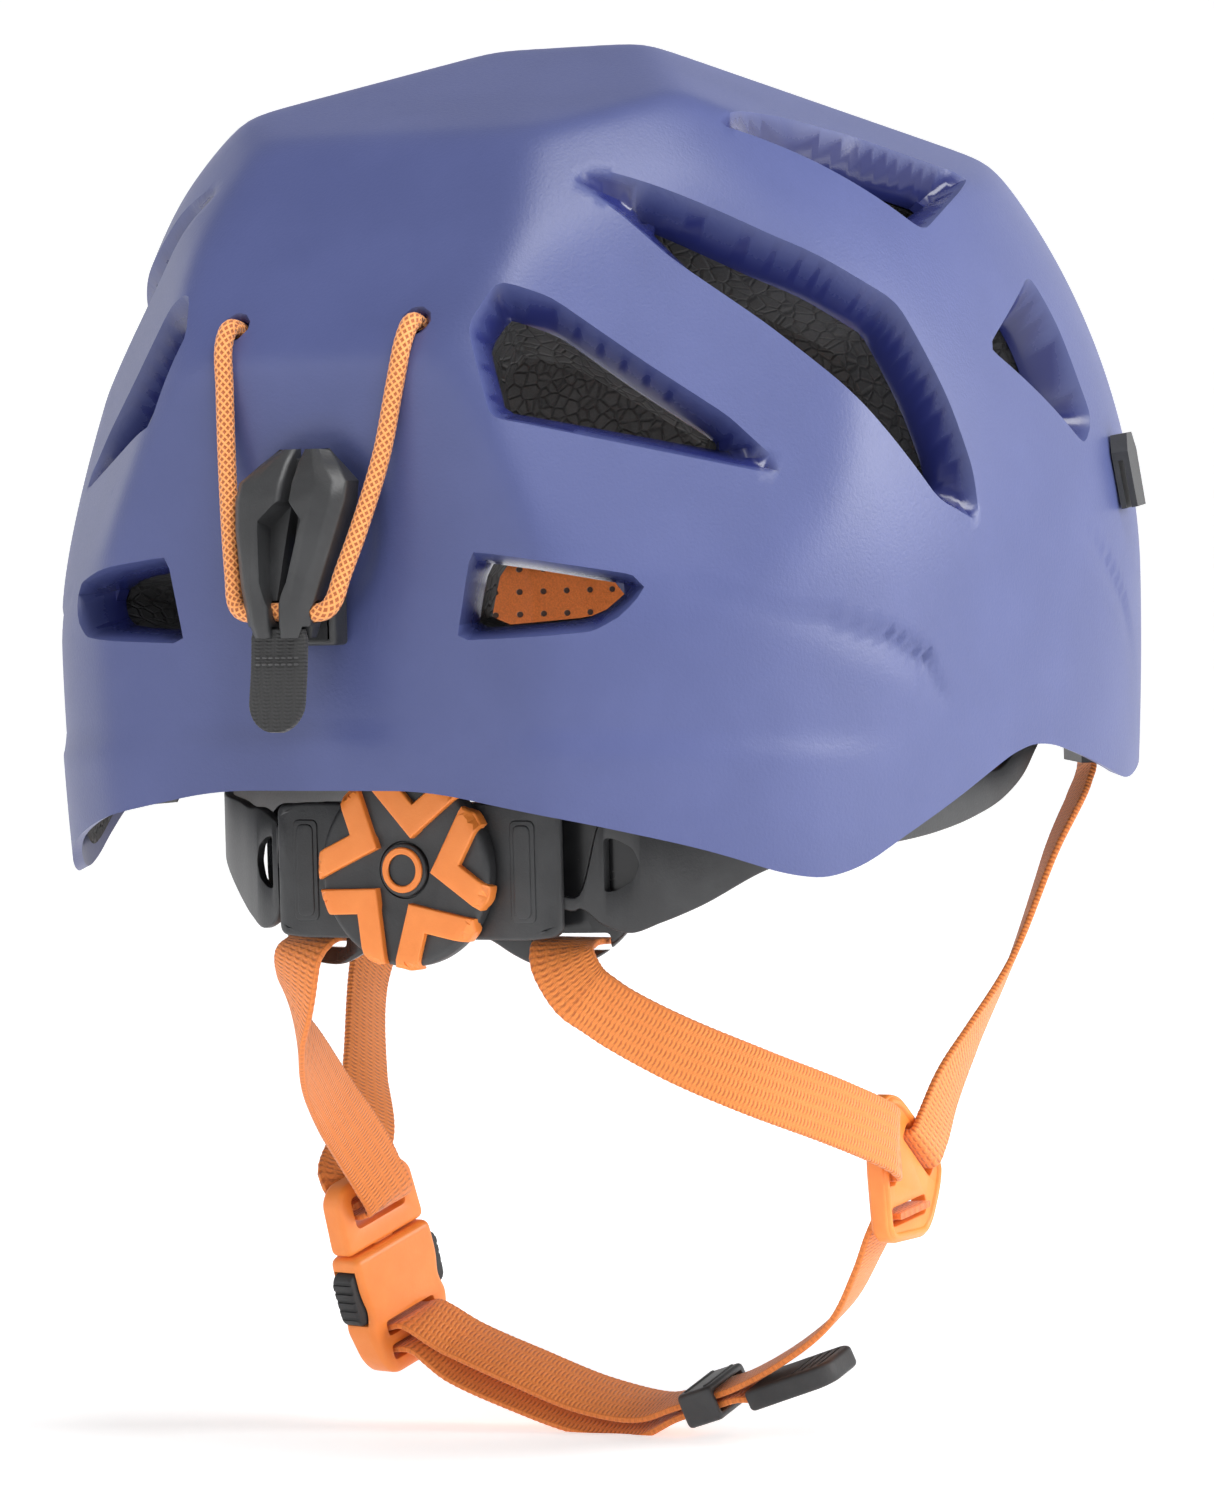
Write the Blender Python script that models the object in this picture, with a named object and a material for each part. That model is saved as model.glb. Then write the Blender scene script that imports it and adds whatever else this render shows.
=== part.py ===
"""Climbing helmet: hard shell over a foam liner, nape cradle with a size dial, Y-straps with a
side buckle, and a lamp-strap hook on an elastic cord. Lengths below are millimetres; the meshes
are written in metres. +Z is up, -Y is the front, +X is the wearer's left, and the origin is the
middle of the headband plane. Every driving size is named once here."""

import math

import bmesh
import bpy
import numpy as np
from mathutils import Matrix, Vector
from mathutils.geometry import tessellate_polygon

MM = 0.001

# Outer surface of the shell: a rounded body whose flats are planes blended into it
SHELL_HALF_WIDTH = 112.0
SHELL_REAR_LENGTH = 140.0
SHELL_FRONT_LENGTH = 147.0
SHELL_HEIGHT = 144.0
SHELL_DEPTH_FORM = 330.0
PLAN_POWER = 2.22
PROFILE_POWER = 1.94
FLAT_SHARPNESS = 40.0
# (azimuth of the flat from the rear, elevation, distance from the origin, on both sides)
REAR_SLOPE = (0.0, 37.4, 132.4, False)
REAR_WALL = (0.0, 0.0, 126.3, False)
CROWN_REAR = (0.0, 73.4, 122.2, False)
CROWN_FRONT = (180.0, 71.0, 113.7, False)
REAR_SIDE = (48.7, 18.4, 122.0, True)
REAR_SHOULDER = (38.8, 36.7, 134.1, True)
UPPER_SIDE = (96.0, 63.9, 119.5, True)
FRONT_SIDE = (135.8, 41.0, 138.0, True)
FLATS = [REAR_SLOPE, REAR_WALL, CROWN_REAR, CROWN_FRONT, REAR_SIDE, REAR_SHOULDER, UPPER_SIDE, FRONT_SIDE]

# Height of the lower edge against the azimuth from the rear, in degrees
SHELL_EDGE = [(0, -40), (12, -40), (25, -46), (38, -53.5), (48, -61), (54, -61), (64, -52), (78, -40.5),
              (84, -36.5), (90, -36), (98, -39), (118, -47.5), (128, -45), (145, -39), (165, -36), (180, -35)]
SHELL_THICKNESS = 2.4
AZIMUTH_STEPS = 54
HEIGHT_STEPS = 12

# Foam liner under the shell
LINER_CLEARANCE = 0.5
LINER_HALF_WIDTH = 93.0
LINER_REAR_LENGTH = 106.0
LINER_FRONT_LENGTH = 124.0
LINER_CROWN_HEIGHT = 103.0
LINER_EDGE_RAISE = 9.0
LINER_EDGE_THICKNESS = 9.0

# Vents: centre (azimuth, elevation), outline across and up from the centre at the outer surface,
# and the same corners on the smaller opening VENT_DEPTH further in
VENT_DEPTH = 9.0
VENTS = {
    "upper": (80, 51,
              [(-48, 7), (-33, 12), (-13, 15), (10, 12), (25, 4), (40, -3), (28, -10), (-1, -25)],
              [(-36, 5), (-27, 8), (-12, 10), (8, 7), (20, 1), (31, -4), (22, -8), (0, -17)]),
    "middle": (55, 29,
               [(-51, 36), (-45, 38), (-29, 29), (-7, 17), (12, 9), (24, 5), (38, -17), (47, -35),
                (50, -50), (31, -44), (8, -22), (-13, -2), (-32, 14)],
               [(-35, 29), (-33, 32), (-20, 25), (-4, 17), (10, 10), (21, 3), (33, -17), (40, -31),
                (43, -41), (32, -38), (9, -19), (-11, 1), (-27, 18)]),
    "front": (104, 24,
              [(4, 22), (9, 10), (11, -4), (14, -13), (4, -19), (-36, 8)],
              [(4, 17), (7, 8), (8, -4), (10, -10), (4, -14), (-27, 8)]),
    "rear": (31, 22,
             [(-24, 18), (-30, 8), (-26, -12), (37, -22), (39, -20), (25, -8), (6, 3), (-13, 15)],
             [(-24, 15), (-28, 9), (-25, -8), (27, -14), (29, -13), (17, -6), (5, 2), (-13, 12)]),
    "lower": (26, 0,
              [(-22, 11), (-26, -9), (5, -7), (11, -4), (17, 2), (14, 5)],
              [(-20, 9), (-24, -7), (3, -5), (8, -3), (14, 2), (12, 3)]),
}

# Brow pad
BROW_HALF_ARC = 56.0
BROW_LOW = -24.0
BROW_HIGH = 8.0
PAD_THICKNESS = 5.0
PAD_GAP = 1.3

# Nape cradle
PLASTIC_GAP = 0.35
ARM_THICKNESS = 2.2
ARM_ROUTE = [(46.5, 76.4, -74, -47), (52, 72.0, -72, -47), (58, 66.3, -69, -46), (70, 54, -61, -45),
             (78, 40, -58.5, -44),
             (82.5, 22, -57.5, -43.5), (85, 4, -56, -43.5), (86.3, -12, -53.5, -43),
             (86.8, -26, -50, -42.5), (86.8, -36, -45.5, -36), (86.2, -44, -40, -27),
             (85.2, -51, -36, -25)]
PIN_RADIUS = 2.0
PIN_LENGTH = 12.0
PIN_HEAD_RADIUS = 4.5
RACK_THICKNESS = 2.0
RACK_PLAY = 0.4
RACK_DEPTH = 3.4
RACK_OUTER_END = 21.8
RACK_INNER_END = 20.0
RACK_TOOTH_PHASE = 19.5
TOOTH_PITCH = 3.0
TOOTH_HEIGHT = 1.5
PINION_TEETH = 10
DIAL_HEIGHT = -59.5
DIAL_RADIUS = 22.0
DIAL_REAR = 93.8
GRIP_RAISE = 1.6
GRIP_COUNT = 5
GRIP_WIDTH = 5.6
HOUSING_HALF_WIDTH = 36.0
HOUSING_LOW = -75.0
HOUSING_HIGH = -45.0
COVER_THICKNESS = 2.4
BASE_THICKNESS = 2.0
YOKE_THICKNESS = 2.4
YOKE_HALF_WIDTH = 49.0
YOKE_REAR = 79.5
YOKE_BEND = 9.5
NAPE_PAD_THICKNESS = 3.0
SLOT_SIDE = 32.5
SLOT_HEIGHT = -76.0

# Webbing
WEB_WIDTH = 15.0
WEB_THICKNESS = 1.4
SLOT_PLAY = 1.2

# Lamp hook, elastic cord and pull tab
HOOK_GAP = 2.0
CORD_RADIUS = 2.0
CORD_PLAY = 0.9
CORD_HOLE = (22.6, 119.6, 59.1)
TAB_HALF_WIDTH = 6.8
TAB_THICKNESS = 1.4

# Side buckle: centre of the joint line, turned about Z and leaned about the width axis
BUCKLE_CENTRE = (61.5, 7.6, -152.0)
BUCKLE_YAW = -13.0
BUCKLE_LEAN = 17.0
BUCKLE_WIDTH = 27.0
BUCKLE_THICKNESS = 9.0
FEMALE_LENGTH = 31.0
MALE_FRAME_LENGTH = 17.0
MALE_SLOT_CENTRE = 7.4
PRONG_LENGTH = 14.0
WEB_SLOTS = (19.4, 25.4)
WEB_SLOT_HALF = 1.9
LEVER_LENGTH = 13.0
LEVER_ROOT = 4.2
LEVER_TRAVEL = 1.5
LEVER_CENTRE = 10.0
FIT_GAP = 0.35

COLOURS = {
    "shell_blue": ((0.055, 0.070, 0.235, 1.0), 0.45),
    "foam_grey": ((0.045, 0.045, 0.047, 1.0), 0.9),
    "plastic_black": ((0.025, 0.026, 0.028, 1.0), 0.5),
    "plastic_orange": ((0.85, 0.22, 0.04, 1.0), 0.42),
    "webbing_orange": ((0.80, 0.19, 0.03, 1.0), 0.8),
    "webbing_black": ((0.03, 0.03, 0.03, 1.0), 0.85),
    "pad_orange": ((0.72, 0.17, 0.03, 1.0), 0.9),
    "rubber_black": ((0.02, 0.02, 0.02, 1.0), 0.7),
    "cord_orange": ((0.82, 0.24, 0.05, 1.0), 0.7),
}


def clear_scene():
    for obj in list(bpy.data.objects):
        bpy.data.objects.remove(obj, do_unlink=True)


def material(name):
    found = bpy.data.materials.get(name)
    if found:
        return found
    colour, rough = COLOURS[name]
    made = bpy.data.materials.new(name)
    made.use_nodes = True
    shader = made.node_tree.nodes["Principled BSDF"]
    shader.inputs["Base Color"].default_value = colour
    shader.inputs["Roughness"].default_value = rough
    shader.inputs["Metallic"].default_value = 0.0
    made.diffuse_color = colour
    return made


def mesh_object(name, points, faces, look, origin=(0.0, 0.0, 0.0), helper=False):
    """A mesh from points in millimetres, with its own origin at `origin`."""
    mesh = bpy.data.meshes.new(name)
    start = Vector(origin)
    mesh.from_pydata([(Vector(p) - start) * MM for p in points], [], [list(f) for f in faces])
    tool = bmesh.new()
    tool.from_mesh(mesh)
    bmesh.ops.recalc_face_normals(tool, faces=tool.faces)
    tool.to_mesh(mesh)
    tool.free()
    mesh.shade_smooth()
    mesh.set_sharp_from_angle(angle=math.radians(35))
    obj = bpy.data.objects.new(name, mesh)
    obj.location = start * MM
    bpy.context.scene.collection.objects.link(obj)
    if helper:
        obj.hide_render = True
        obj.display_type = "WIRE"
    else:
        mesh.materials.append(material(look))
    return obj


def ring_faces(rings, count, closed_ends=True):
    """Quads between successive rings of `count` points each, with polygon caps at both ends."""
    faces = []
    for r in range(rings - 1):
        for k in range(count):
            a = r * count + k
            b = r * count + (k + 1) % count
            faces.append((a, b, b + count, a + count))
    if closed_ends:
        faces.append(tuple(range(count))[::-1])
        faces.append(tuple((rings - 1) * count + k for k in range(count)))
    return faces


def loft(name, rings, look, origin=(0.0, 0.0, 0.0), helper=False, plan=None):
    """Rings joined in order; `plan` is the flat outline that says how a bent end cap is divided."""
    count = len(rings[0])
    points = [p for ring in rings for p in ring]
    faces = ring_faces(len(rings), count, plan is None)
    if plan is not None:
        last = (len(rings) - 1) * count
        for a, b, c in tessellate_polygon([[Vector((u, v, 0)) for u, v in plan]]):
            faces.append((a, b, c))
            faces.append((last + a, last + c, last + b))
    return mesh_object(name, points, faces, look, origin, helper)


def frame_from(centre, across, up):
    """Axes from a centre, a direction across and a direction roughly up."""
    x = Vector(across).normalized()
    y = Vector(up)
    y = (y - x * y.dot(x)).normalized()
    return Vector(centre), x, y, x.cross(y)


def prism(name, outline, place, low, high, look, origin=(0.0, 0.0, 0.0), helper=False):
    """An outline in the (x, y) plane of `place`, run from `low` to `high` along its z."""
    c, x, y, z = place
    rings = [[c + x * u + y * v + z * level for u, v in outline] for level in (low, high)]
    return loft(name, rings, look, origin, helper)


def rectangle(half_u, half_v, centre=(0.0, 0.0)):
    cu, cv = centre
    return [(cu - half_u, cv - half_v), (cu + half_u, cv - half_v), (cu + half_u, cv + half_v),
            (cu - half_u, cv + half_v)]


def circle(radius, steps, centre=(0.0, 0.0)):
    turn = [2 * math.pi * k / steps for k in range(steps)]
    return [(centre[0] + radius * math.cos(t), centre[1] + radius * math.sin(t)) for t in turn]


def cut(obj, tool, operation="DIFFERENCE"):
    change = obj.modifiers.new(tool.name, "BOOLEAN")
    change.operation = operation
    change.object = tool
    change.solver = "EXACT"


def bevel(obj, width, segments=1, angle=40.0):
    change = obj.modifiers.new("edges", "BEVEL")
    change.width = width * MM
    change.segments = segments
    change.limit_method = "ANGLE"
    change.angle_limit = math.radians(angle)
    change.harden_normals = False


def direction(azimuth, elevation):
    a = math.radians(azimuth)
    e = math.radians(elevation)
    return Vector((math.sin(a) * math.cos(e), math.cos(a) * math.cos(e), math.sin(e)))


def outer_radius(d):
    """Distance from the origin to the outer surface along the unit direction d."""
    length = SHELL_REAR_LENGTH if d.y > 0 else SHELL_FRONT_LENGTH
    height = SHELL_HEIGHT if d.z > 0 else SHELL_DEPTH_FORM
    plan = (abs(d.x / SHELL_HALF_WIDTH) ** PLAN_POWER + abs(d.y / length) ** PLAN_POWER) ** (1 / PLAN_POWER)
    body = (plan ** PROFILE_POWER + abs(d.z / height) ** PROFILE_POWER) ** (1 / PROFILE_POWER)
    total = body ** FLAT_SHARPNESS
    for azimuth, elevation, distance, both in FLATS:
        for side in (1, -1) if both else (1,):
            n = direction(azimuth * side, elevation)
            total += (max(0.0, n.dot(d)) / distance) ** FLAT_SHARPNESS
    return 1 / total ** (1 / FLAT_SHARPNESS)


def cavity_radius(d):
    """Distance from the origin to the inside face of the foam liner along d."""
    length = LINER_REAR_LENGTH if d.y > 0 else LINER_FRONT_LENGTH
    plan = (abs(d.x / LINER_HALF_WIDTH) ** PLAN_POWER + abs(d.y / length) ** PLAN_POWER) ** (1 / PLAN_POWER)
    up = max(0.0, d.z) / LINER_CROWN_HEIGHT
    return 1 / (plan ** PLAN_POWER + up ** PLAN_POWER) ** (1 / PLAN_POWER)


def edge_height(azimuth):
    a = abs((azimuth + 180) % 360 - 180)
    return float(np.interp(a, [p[0] for p in SHELL_EDGE], [p[1] for p in SHELL_EDGE]))


def edge_elevation(azimuth, raised):
    """Elevation of the direction that meets the outer surface at the lower edge."""
    height = edge_height(azimuth) + raised
    low, high = -50.0, 10.0
    for _ in range(40):
        middle = (low + high) / 2
        d = direction(azimuth, middle)
        if (d * outer_radius(d)).z > height:
            high = middle
        else:
            low = middle
    return (low + high) / 2


def shell_grid(radius_out, radius_in, raised, name, look):
    """A thick bowl: an outer and an inner face over the same directions, joined along the lower edge."""
    rows = HEIGHT_STEPS
    azimuths = [360.0 * k / AZIMUTH_STEPS for k in range(AZIMUTH_STEPS)]
    edges = [edge_elevation(a, 0.0) for a in azimuths]
    rings = []
    for r in range(1, rows):
        rings.append([direction(a, 90 + (low - 90) * r / rows) for a, low in zip(azimuths, edges)])
    rings.append([direction(a, edge_elevation(a, raised)) for a in azimuths])
    points = [Vector((0, 0, radius_out(Vector((0, 0, 1)), 0.0)))]
    for r, ring in enumerate(rings):
        points += [d * radius_out(d, (r + 1) / rows) for d in ring]
    inner_start = len(points)
    points.append(Vector((0, 0, radius_in(Vector((0, 0, 1)), 0.0))))
    for r, ring in enumerate(rings):
        points += [d * radius_in(d, (r + 1) / rows) for d in ring]
    faces = []
    n = AZIMUTH_STEPS
    for start in (0, inner_start):
        for k in range(n):
            faces.append((start, start + 1 + k, start + 1 + (k + 1) % n))
        for r in range(rows - 1):
            for k in range(n):
                a = start + 1 + r * n + k
                b = start + 1 + r * n + (k + 1) % n
                faces.append((a, b, b + n))
                faces.append((a, b + n, a + n))
    last = 1 + (rows - 1) * n
    for k in range(n):
        a = last + k
        b = last + (k + 1) % n
        faces.append((a, b, inner_start + b, inner_start + a))
    return mesh_object(name, points, faces, look)


def vent_points(vent, side, outline, depth):
    """Corners of a vent outline on the outer surface, moved `depth` towards the origin."""
    azimuth, elevation = VENTS[vent][:2]
    d = direction(azimuth, elevation)
    across = direction(azimuth + 90, 0)
    up = d.cross(across) * -1
    if up.z < 0:
        up = -up
    reach = outer_radius(d)
    corners = []
    for u, v in outline:
        ray = (d * reach + across * u + up * v).normalized()
        p = ray * (outer_radius(ray) - depth)
        corners.append(Vector((p.x * side, p.y, p.z)))
    return corners


def vent_cutter(vent, side):
    outer = vent_points(vent, side, VENTS[vent][2], 0.0)
    inner = vent_points(vent, side, VENTS[vent][3], VENT_DEPTH)
    above = [o + (o - i) * 1.3 for o, i in zip(outer, inner)]
    below = [i * 0.62 for i in inner]
    name = "cut_vent_" + vent + ("_left" if side > 0 else "_right")
    return loft(name, [above, inner, below], None, helper=True, plan=VENTS[vent][2])


def tangent_frame(azimuth, elevation, lift=0.0):
    """Origin on the outer surface with axes across, up the surface, and outwards."""
    d = direction(azimuth, elevation)
    step = 0.5
    p = d * outer_radius(d)
    a = direction(azimuth + step, elevation)
    b = direction(azimuth, elevation + step)
    x = (a * outer_radius(a) - p).normalized()
    y = b * outer_radius(b) - p
    y = (y - x * y.dot(x)).normalized()
    z = y.cross(x)
    if z.dot(d) < 0:
        z = -z
    return p + z * lift, x, y, z


def strap(name, stations, look="webbing_orange", width=WEB_WIDTH, thickness=WEB_THICKNESS, origin=None):
    """Webbing with a rectangular section: stations are (point, direction across the width)."""
    centres = [Vector(p) for p, _ in stations]
    rings = []
    for k, (_, across) in enumerate(stations):
        run = centres[min(k + 1, len(centres) - 1)] - centres[max(k - 1, 0)]
        run.normalize()
        w = Vector(across)
        w = (w - run * w.dot(run)).normalized()
        n = run.cross(w)
        half_w = w * width / 2
        half_t = n * thickness / 2
        c = centres[k]
        rings.append([c - half_w - half_t, c + half_w - half_t, c + half_w + half_t, c - half_w + half_t])
    # both sides of the web are split along the same diagonal, so a twisted span keeps its thickness
    faces = [(3, 2, 1, 0)]
    for k in range(len(rings) - 1):
        a, b = 4 * k, 4 * k + 4
        for low, high in ((0, 1), (3, 2)):
            pair = [(a + low, a + high, b + high), (a + low, b + high, b + low)]
            faces += pair if low == 0 else [f[::-1] for f in pair]
        faces += [(a + 1, a + 2, b + 2, b + 1), (a + 3, a, b, b + 3)]
    last = 4 * len(rings) - 4
    faces.append((last, last + 1, last + 2, last + 3))
    points = [p for ring in rings for p in ring]
    return mesh_object(name, points, faces, look, origin or tuple(centres[0]))


def tube(name, route, radius, look, steps=8, origin=None, helper=False):
    """A round cord carried along a route of points."""
    centres = [Vector(p) for p in route]
    rings = []
    side = None
    for k, c in enumerate(centres):
        run = (centres[min(k + 1, len(centres) - 1)] - centres[max(k - 1, 0)]).normalized()
        if side is None:
            side = run.orthogonal().normalized()
        side = (side - run * side.dot(run)).normalized()
        other = run.cross(side)
        rings.append([c + side * radius * math.cos(t) + other * radius * math.sin(t)
                      for t in [2 * math.pi * i / steps for i in range(steps)]])
    return loft(name, rings, look, origin or tuple(centres[0]), helper)


def cradle_y(x):
    """Depth of the inner face of the nape yoke at a distance x from the middle."""
    return YOKE_REAR - YOKE_BEND * (x / YOKE_HALF_WIDTH) ** 2


def plate(name, columns, curve, near, far, look, origin=(0.0, 0.0, 0.0)):
    """A bent plate: columns are (x, low z, high z), and it runs from curve + near to curve + far."""
    rings = []
    for x, low, high in columns:
        y = curve(x)
        rings.append([(x, y + near, low), (x, y + near, high), (x, y + far, high), (x, y + far, low)])
    return loft(name, rings, look, origin)


def box(name, low, high, look, origin=(0.0, 0.0, 0.0), helper=False):
    x0, y0, z0 = low
    x1, y1, z1 = high
    rings = [[(x0, y, z0), (x1, y, z0), (x1, y, z1), (x0, y, z1)] for y in (y0, y1)]
    return loft(name, rings, look, origin, helper)


def along_y(centre_x, centre_z):
    """A frame whose x is world X, y is world Z and z is world -Y."""
    return frame_from((centre_x, 0, centre_z), (1, 0, 0), (0, 0, 1))


def along_x(centre_y, centre_z):
    """A frame whose x is world Y, y is world Z and z is world X."""
    return frame_from((0, centre_y, centre_z), (0, 1, 0), (0, 0, 1))


def cone(name, place, levels, look, steps=16, origin=(0.0, 0.0, 0.0), helper=False):
    """A turned piece along z of `place`: levels are (distance, radius)."""
    c, x, y, z = place
    rings = [[c + x * u + y * v + z * level for u, v in circle(radius, steps)] for level, radius in levels]
    return loft(name, rings, look, origin, helper)


def sides():
    return (("left", 1), ("right", -1))


def build_shell():
    shell = shell_grid(lambda d, t: outer_radius(d), lambda d, t: outer_radius(d) - SHELL_THICKNESS,
                       0.0, "outer_shell", "shell_blue")

    def foam_outside(d, t):
        return outer_radius(d) - SHELL_THICKNESS - LINER_CLEARANCE

    def foam_inside(d, t):
        edge = foam_outside(d, t) - LINER_EDGE_THICKNESS
        return cavity_radius(d) if t < 0.999 else max(cavity_radius(d), edge)

    liner = shell_grid(foam_outside, foam_inside, LINER_EDGE_RAISE, "eps_liner", "foam_grey")
    for vent in VENTS:
        for _, side in sides():
            tool = vent_cutter(vent, side)
            cut(shell, tool)
            cut(liner, tool)
    for name, side in sides():
        x, y, z = CORD_HOLE
        out = Vector((x * side, y, z)).normalized()
        place = frame_from((x * side, y, z), (0, -out.z, out.y), (1, 0, 0))
        reach = place[3] if place[3].dot(out) > 0 else -place[3]
        place = (place[0], place[1], place[2], reach)
        hole = cone("cut_cord_hole_" + name, place, [(-8, CORD_RADIUS + CORD_PLAY),
                                                     (6, CORD_RADIUS + CORD_PLAY)], None, 10, helper=True)
        pocket = cone("cut_knot_" + name, place, [(-14, 4.6), (-2.6, 4.6)], None, 10, helper=True)
        cut(shell, hole)
        cut(liner, pocket)
    return shell, liner


def build_pads():
    azimuths = [180 - BROW_HALF_ARC + 2 * BROW_HALF_ARC * k / 14 for k in range(15)]
    rings = []
    for a in azimuths:
        flat = direction(a, 0)
        reach = cavity_radius(flat)
        ring = []
        for depth, z in ((PAD_GAP, BROW_LOW), (PAD_GAP, BROW_HIGH),
                         (PAD_GAP + PAD_THICKNESS, BROW_HIGH - 1), (PAD_GAP + PAD_THICKNESS, BROW_LOW + 1)):
            p = flat * (reach - depth)
            ring.append((p.x, p.y, z))
        rings.append(ring)
    loft("brow_pad", rings, "pad_orange")
    columns = [(x, -69.0, -50.0) for x in (-30, -20, -10, 0, 10, 20, 30)]
    plate("nape_pad", columns, cradle_y, -PLASTIC_GAP - NAPE_PAD_THICKNESS, -PLASTIC_GAP, "rubber_black")


def build_yoke():
    lower = [(49, -65, -51), (45, -73.5, -46), (40, -78.5, -46), (34, -81.5, -46), (26, -82, -46),
             (20, -79.5, -46),
             (13, -75, -46), (6, -73, -46), (0, -72.5, -46)]
    columns = [(-x, low, high) for x, low, high in lower] + lower[-2::-1]
    yoke = plate("nape_yoke", columns, cradle_y, 0.0, YOKE_THICKNESS, "plastic_black")
    for name, side in sides():
        slot = prism("cut_slot_" + name, rectangle(WEB_WIDTH / 2 + SLOT_PLAY, WEB_THICKNESS / 2 + SLOT_PLAY),
                     along_y(SLOT_SIDE * side, SLOT_HEIGHT), -90, -60, None, helper=True)
        cut(yoke, slot)
    return yoke


def rack_outline(side):
    """One toothed bar with its free end past the pinion; the two bars are half a turn apart."""
    inner = PINION_TEETH * TOOTH_PITCH / (2 * math.pi) + TOOTH_HEIGHT / 2
    tip = TOOTH_HEIGHT - PLASTIC_GAP
    points = [(RACK_OUTER_END, inner + RACK_DEPTH), (RACK_OUTER_END, inner)]
    x = RACK_TOOTH_PHASE
    while x > TOOTH_PITCH / 2 - RACK_INNER_END:
        points += [(x + 0.65, inner), (x + 0.35, inner - tip), (x - 0.35, inner - tip), (x - 0.65, inner)]
        x -= TOOTH_PITCH
    points += [(-RACK_INNER_END, inner), (-RACK_INNER_END, inner + RACK_DEPTH)]
    return [(u * side, v * side) for u, v in points]


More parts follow.
